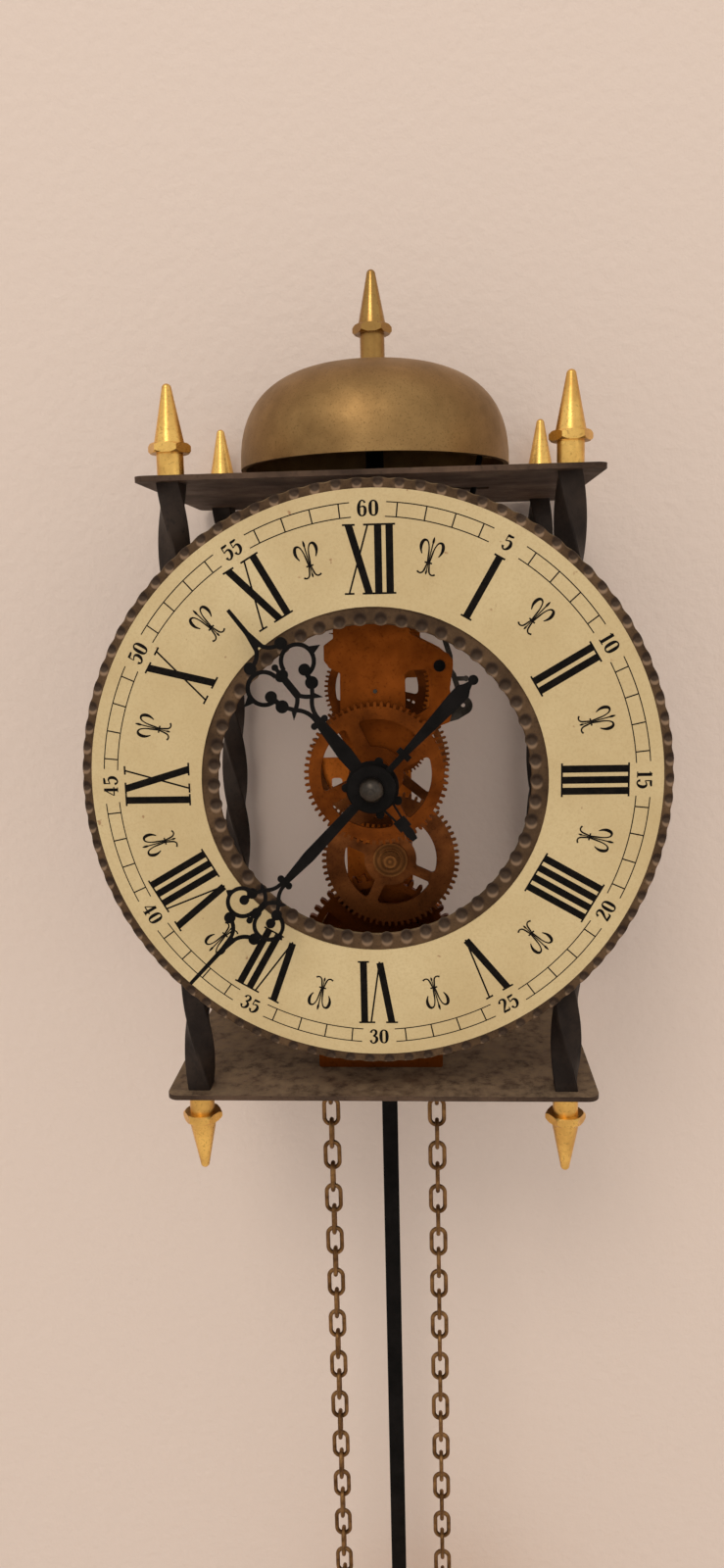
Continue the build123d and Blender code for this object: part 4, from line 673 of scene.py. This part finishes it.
def strokes_mesh(strokes, smooth=False):
    """Pen strokes in a flat drawing, each a list of (across, up, half width) in millimetres."""
    curve = bpy.data.curves.new("strokes", "CURVE")
    curve.dimensions = "3D"
    curve.bevel_depth = MM
    curve.bevel_resolution = 1
    curve.use_fill_caps = True
    curve.resolution_u = CURVE_STEPS
    for stroke in strokes:
        spline = curve.splines.new("NURBS" if smooth and len(stroke) > 2 else "POLY")
        spline.points.add(len(stroke) - 1)
        for point, (u, v, half) in zip(spline.points, stroke):
            point.co = (u * MM, v * MM, 0, 1)
            point.radius = half
        if spline.type == "NURBS":
            spline.order_u = 3
            spline.use_endpoint_u = True
    holder = bpy.data.objects.new("strokes", curve)
    bpy.context.collection.objects.link(holder)
    mesh = bpy.data.meshes.new_from_object(holder)
    bpy.data.objects.remove(holder)
    bpy.data.curves.remove(curve)
    return mesh


print("a curl is drawn in", CURVE_STEPS, "steps from point to point")

# %% [markdown]
# A drawing lies flat, like paper on a table. To print it, it is turned in its own plane, pressed thin,
# stood upright, lifted to its radius, swung round the dial, and moved to the dial's place, and one
# product of matrices does all of that.

# %% Printing on the dial
PRINT_Y = -0.02
PRESS = 0.012


def print_on_dial(page, mesh, radius, clock_degrees, turned=0.0):
    """Copies a drawing onto the page at a radius and an angle clockwise from the top."""
    copy = bmesh.new()
    copy.from_mesh(mesh)
    spin_in_place = Matrix.Rotation(radians(turned), 4, "Z")
    upright = Matrix(((1, 0, 0, 0), (0, 0, PRESS, 0), (0, 1, 0, 0), (0, 0, 0, 1)))
    lift = Matrix.Translation((0, 0, radius * MM))
    round_dial = Matrix.Rotation(radians(clock_degrees), 4, "Y")
    to_dial = Matrix.Translation(at(0, PRINT_Y, 0))
    copy.transform(to_dial @ round_dial @ lift @ upright @ spin_in_place)
    part = bpy.data.meshes.new("part")
    copy.to_mesh(part)
    copy.free()
    page.from_mesh(part)
    bpy.data.meshes.remove(part)


page = bmesh.new()
print("print lies", -PRINT_Y, "mm before the enamel")

# %% [markdown]
# The minute track is two thin circles with a tick at each minute, broken at every fifth minute to make
# room for its number.

# %% Minute track
TRACK_OUTER = 77.8
TRACK_INNER = 73.9
OUTER_GAP = 3.75
INNER_GAP = 3.6
LINE = 0.15
TICK = 1.25 * LINE
ARC_STEPS = 24
ladder = []
for five in range(12):
    for radius, gap in ((TRACK_OUTER, OUTER_GAP), (TRACK_INNER, INNER_GAP)):
        start, end = 30 * five + gap, 30 * five + 30 - gap
        turns = [radians(start + (end - start) * k / ARC_STEPS) for k in range(ARC_STEPS + 1)]
        ladder.append([(radius * sin(t), radius * cos(t), LINE) for t in turns])
    for minute in range(1, 5):
        t = radians(30 * five + 6 * minute)
        ladder.append([(r * sin(t), r * cos(t), TICK) for r in (TRACK_INNER, TRACK_OUTER)])
print_on_dial(page, strokes_mesh(ladder), 0, 0)
print("track strokes", len(ladder))

# %% [markdown]
# The hours are Roman numerals with fat bars and hairlines, and a thin serif across each end. A letter is
# a few strokes from its left edge on, with the step to the next letter.

# %% Roman letters
NUMERAL_TALL = 18.6
BAR = 1.02
HAIR = 0.25
SERIF = 0.26
OVERHANG = 0.65


def letter(kind, x):
    """Strokes of one Roman letter whose left edge is at x, and how far the next letter starts."""
    top, low = NUMERAL_TALL, 0.0
    if kind == "I":
        left, right = x - OVERHANG, x + 2 * BAR + OVERHANG
        return [[(x + BAR, low, BAR), (x + BAR, top, BAR)],
                [(left, low, SERIF), (right, low, SERIF)],
                [(left, top, SERIF), (right, top, SERIF)]], 3.15
    if kind == "V":
        return [[(x + 1.3, top, BAR), (x + 4.5, low + 0.3, BAR)],
                [(x + 4.6, low, HAIR), (x + 7.4, top, HAIR)],
                [(x - 0.5, top, SERIF), (x + 3.0, top, SERIF)],
                [(x + 6.2, top, SERIF), (x + 8.5, top, SERIF)]], 8.3
    return [[(x + 1.3, top, BAR), (x + 6.7, low, BAR)],
            [(x + 1.2, low, HAIR), (x + 6.6, top, HAIR)],
            [(x - 0.4, top, SERIF), (x + 3.1, top, SERIF)],
            [(x + 5.4, top, SERIF), (x + 7.9, top, SERIF)],
            [(x - 0.1, low, SERIF), (x + 2.6, low, SERIF)],
            [(x + 4.9, low, SERIF), (x + 8.6, low, SERIF)]], 8.35


print("strokes in an X", len(letter("X", 0.0)[0]))

# %% [markdown]
# The letters of an hour stand in a row. The row is centred without the gap after its last letter, and it
# is printed with its foot towards the middle of the dial.

# %% Hour numerals
NUMERAL_LOW = 53.1
LETTER_GAP = 1.1
HOURS = ["XII", "I", "II", "III", "IIII", "V", "VI", "VII", "VIII", "IX", "X", "XI"]
for hour, word in enumerate(HOURS):
    row = []
    x = 0.0
    for kind in word:
        marks, step = letter(kind, x)
        row += marks
        x += step
    middle = (x - LETTER_GAP) / 2
    row = [[(u - middle, v, half) for u, v, half in mark] for mark in row]
    print_on_dial(page, strokes_mesh(row), NUMERAL_LOW, 30 * hour)
print("hours", HOURS)

# %% [markdown]
# The minute numbers are small fat digits. Each is drawn about its own middle as a few curling strokes,
# and the number after the strokes is the room that the digit takes in a row.

# %% Digits
DIGITS = {
    "0": ([[(0.0, 2.0, 0.2), (-0.6, 1.9, 0.25), (-0.95, 1.0, 0.52), (-0.95, -1.0, 0.52),
            (-0.6, -1.9, 0.25), (0.0, -2.0, 0.2)],
           [(0.0, 2.0, 0.2), (0.6, 1.9, 0.25), (0.95, 1.0, 0.52), (0.95, -1.0, 0.52),
            (0.6, -1.9, 0.25), (0.0, -2.0, 0.2)]], 3.2),
    "1": ([[(0.1, -2.0, 0.5), (0.1, 2.05, 0.5)], [(-0.8, -2.0, 0.17), (1.0, -2.0, 0.17)],
           [(-0.8, 1.45, 0.12), (-0.2, 1.6, 0.2), (0.1, 2.0, 0.35)]], 2.3),
    "2": ([[(-0.9, 1.1, 0.42), (-0.75, 1.8, 0.25), (0.1, 2.15, 0.2), (0.95, 1.7, 0.45),
            (0.85, 0.7, 0.5), (-0.3, -0.7, 0.3), (-1.0, -1.9, 0.18)],
           [(-1.0, -1.75, 0.35), (0.2, -1.7, 0.4), (1.1, -1.85, 0.3), (1.15, -1.0, 0.12)]], 2.9),
    "3": ([[(-0.85, 1.15, 0.4), (-0.7, 1.8, 0.25), (0.1, 2.15, 0.2), (0.9, 1.6, 0.45),
            (0.7, 0.5, 0.4), (-0.2, 0.15, 0.15)],
           [(-0.2, 0.15, 0.15), (0.9, 0.0, 0.4), (1.05, -1.3, 0.52), (0.1, -2.2, 0.22),
            (-0.8, -1.9, 0.25), (-0.9, -1.15, 0.42)]], 2.9),
    "4": ([[(0.45, -2.0, 0.48), (0.45, 2.0, 0.48)], [(0.4, 2.0, 0.2), (-1.3, -0.85, 0.15)],
           [(-1.35, -0.9, 0.2), (1.35, -0.9, 0.2)], [(-0.3, -2.0, 0.16), (1.2, -2.0, 0.16)]], 3.1),
    "5": ([[(-0.75, 2.0, 0.2), (-0.8, 0.1, 0.14)],
           [(-0.75, 1.75, 0.38), (0.2, 1.65, 0.42), (0.95, 1.9, 0.25)],
           [(-0.75, 0.15, 0.15), (0.3, 0.75, 0.2), (1.1, 0.1, 0.48), (1.05, -1.2, 0.52),
            (0.1, -2.2, 0.22), (-0.8, -1.9, 0.25), (-0.9, -1.2, 0.42)]], 2.9),
    "6": ([[(0.85, 1.4, 0.36), (0.6, 2.0, 0.2), (-0.3, 2.15, 0.2), (-0.95, 0.9, 0.5),
            (-0.95, -1.0, 0.52), (-0.6, -1.95, 0.25), (0.0, -2.05, 0.2)],
           [(-0.7, 0.2, 0.15), (0.1, 0.6, 0.18), (0.95, 0.2, 0.45), (0.95, -1.2, 0.5),
            (0.6, -1.95, 0.25), (0.0, -2.05, 0.2)]], 3.1),
}
print("digits", list(DIGITS))

# %% [markdown]
# From 20 to 40 the numbers stand with their heads towards the middle, so that they read upright at the
# foot of the dial.

# %% Minute numbers
NUMBER_RADIUS = 76.1
NARROWED = 0.95
THINNED = 0.92
UPSIDE_DOWN = range(4, 9)
for five in range(1, 13):
    marks = []
    x = 0.0
    for digit in str(5 * five):
        drawing, width = DIGITS[digit]
        x += width / 2
        marks += [[(u * NARROWED + x, v, half * THINNED) for u, v, half in mark] for mark in drawing]
        x += width / 2
    marks = [[(u - x / 2, v, half) for u, v, half in mark] for mark in marks]
    turned = 180 if five in UPSIDE_DOWN else 0
    print_on_dial(page, strokes_mesh(marks, smooth=True), NUMBER_RADIUS, 30 * five, turned)
print("numbers 5 to 60")

# %% [markdown]
# Half way between the hours is a small fleur: a stem with a bud at each end, two horns that curl out and
# down, and two feet under a waist band. One half is drawn and the other is its mirror. It is the last
# thing on the page, so the whole print is then finished as one piece on the case.

# %% Half-hour ornaments
FLEUR_RADIUS = 64.9
PEN = 1.35
half_fleur = [
    [(0.3, -1.7, 0.12), (0.45, 0.2, 0.2), (0.75, 2.4, 0.12), (1.5, 4.1, 0.16), (2.7, 4.1, 0.3),
     (3.15, 2.6, 0.36), (2.85, 1.1, 0.2), (2.3, 0.3, 0.1)],
    [(0.3, -1.7, 0.12), (0.5, -3.2, 0.2), (0.9, -4.6, 0.16), (1.9, -5.0, 0.16), (2.5, -4.5, 0.2)],
    [(0.0, -1.75, 0.2), (1.05, -1.75, 0.16)],
]
stem = [[(0.0, -4.0, 0.1), (0.0, 3.9, 0.14)], [(0.0, 3.4, 0.1), (0.0, 4.2, 0.42), (0.0, 5.3, 0.05)],
        [(0.0, -3.7, 0.08), (0.0, -4.4, 0.36), (0.0, -5.0, 0.05)]]
fleur = half_fleur + [[(-u, v, half) for u, v, half in mark] for mark in half_fleur] + stem
fleur = [[(u, v, PEN * half) for u, v, half in mark] for mark in fleur]
fleur_mesh = strokes_mesh(fleur, smooth=True)
for hour in range(12):
    print_on_dial(page, fleur_mesh, FLEUR_RADIUS, 30 * hour + 15)
dial_print = finish_mesh("dial_print", page, "case", ink, smooth=False)
print("dial print", len(dial_print.data.polygons), "faces")
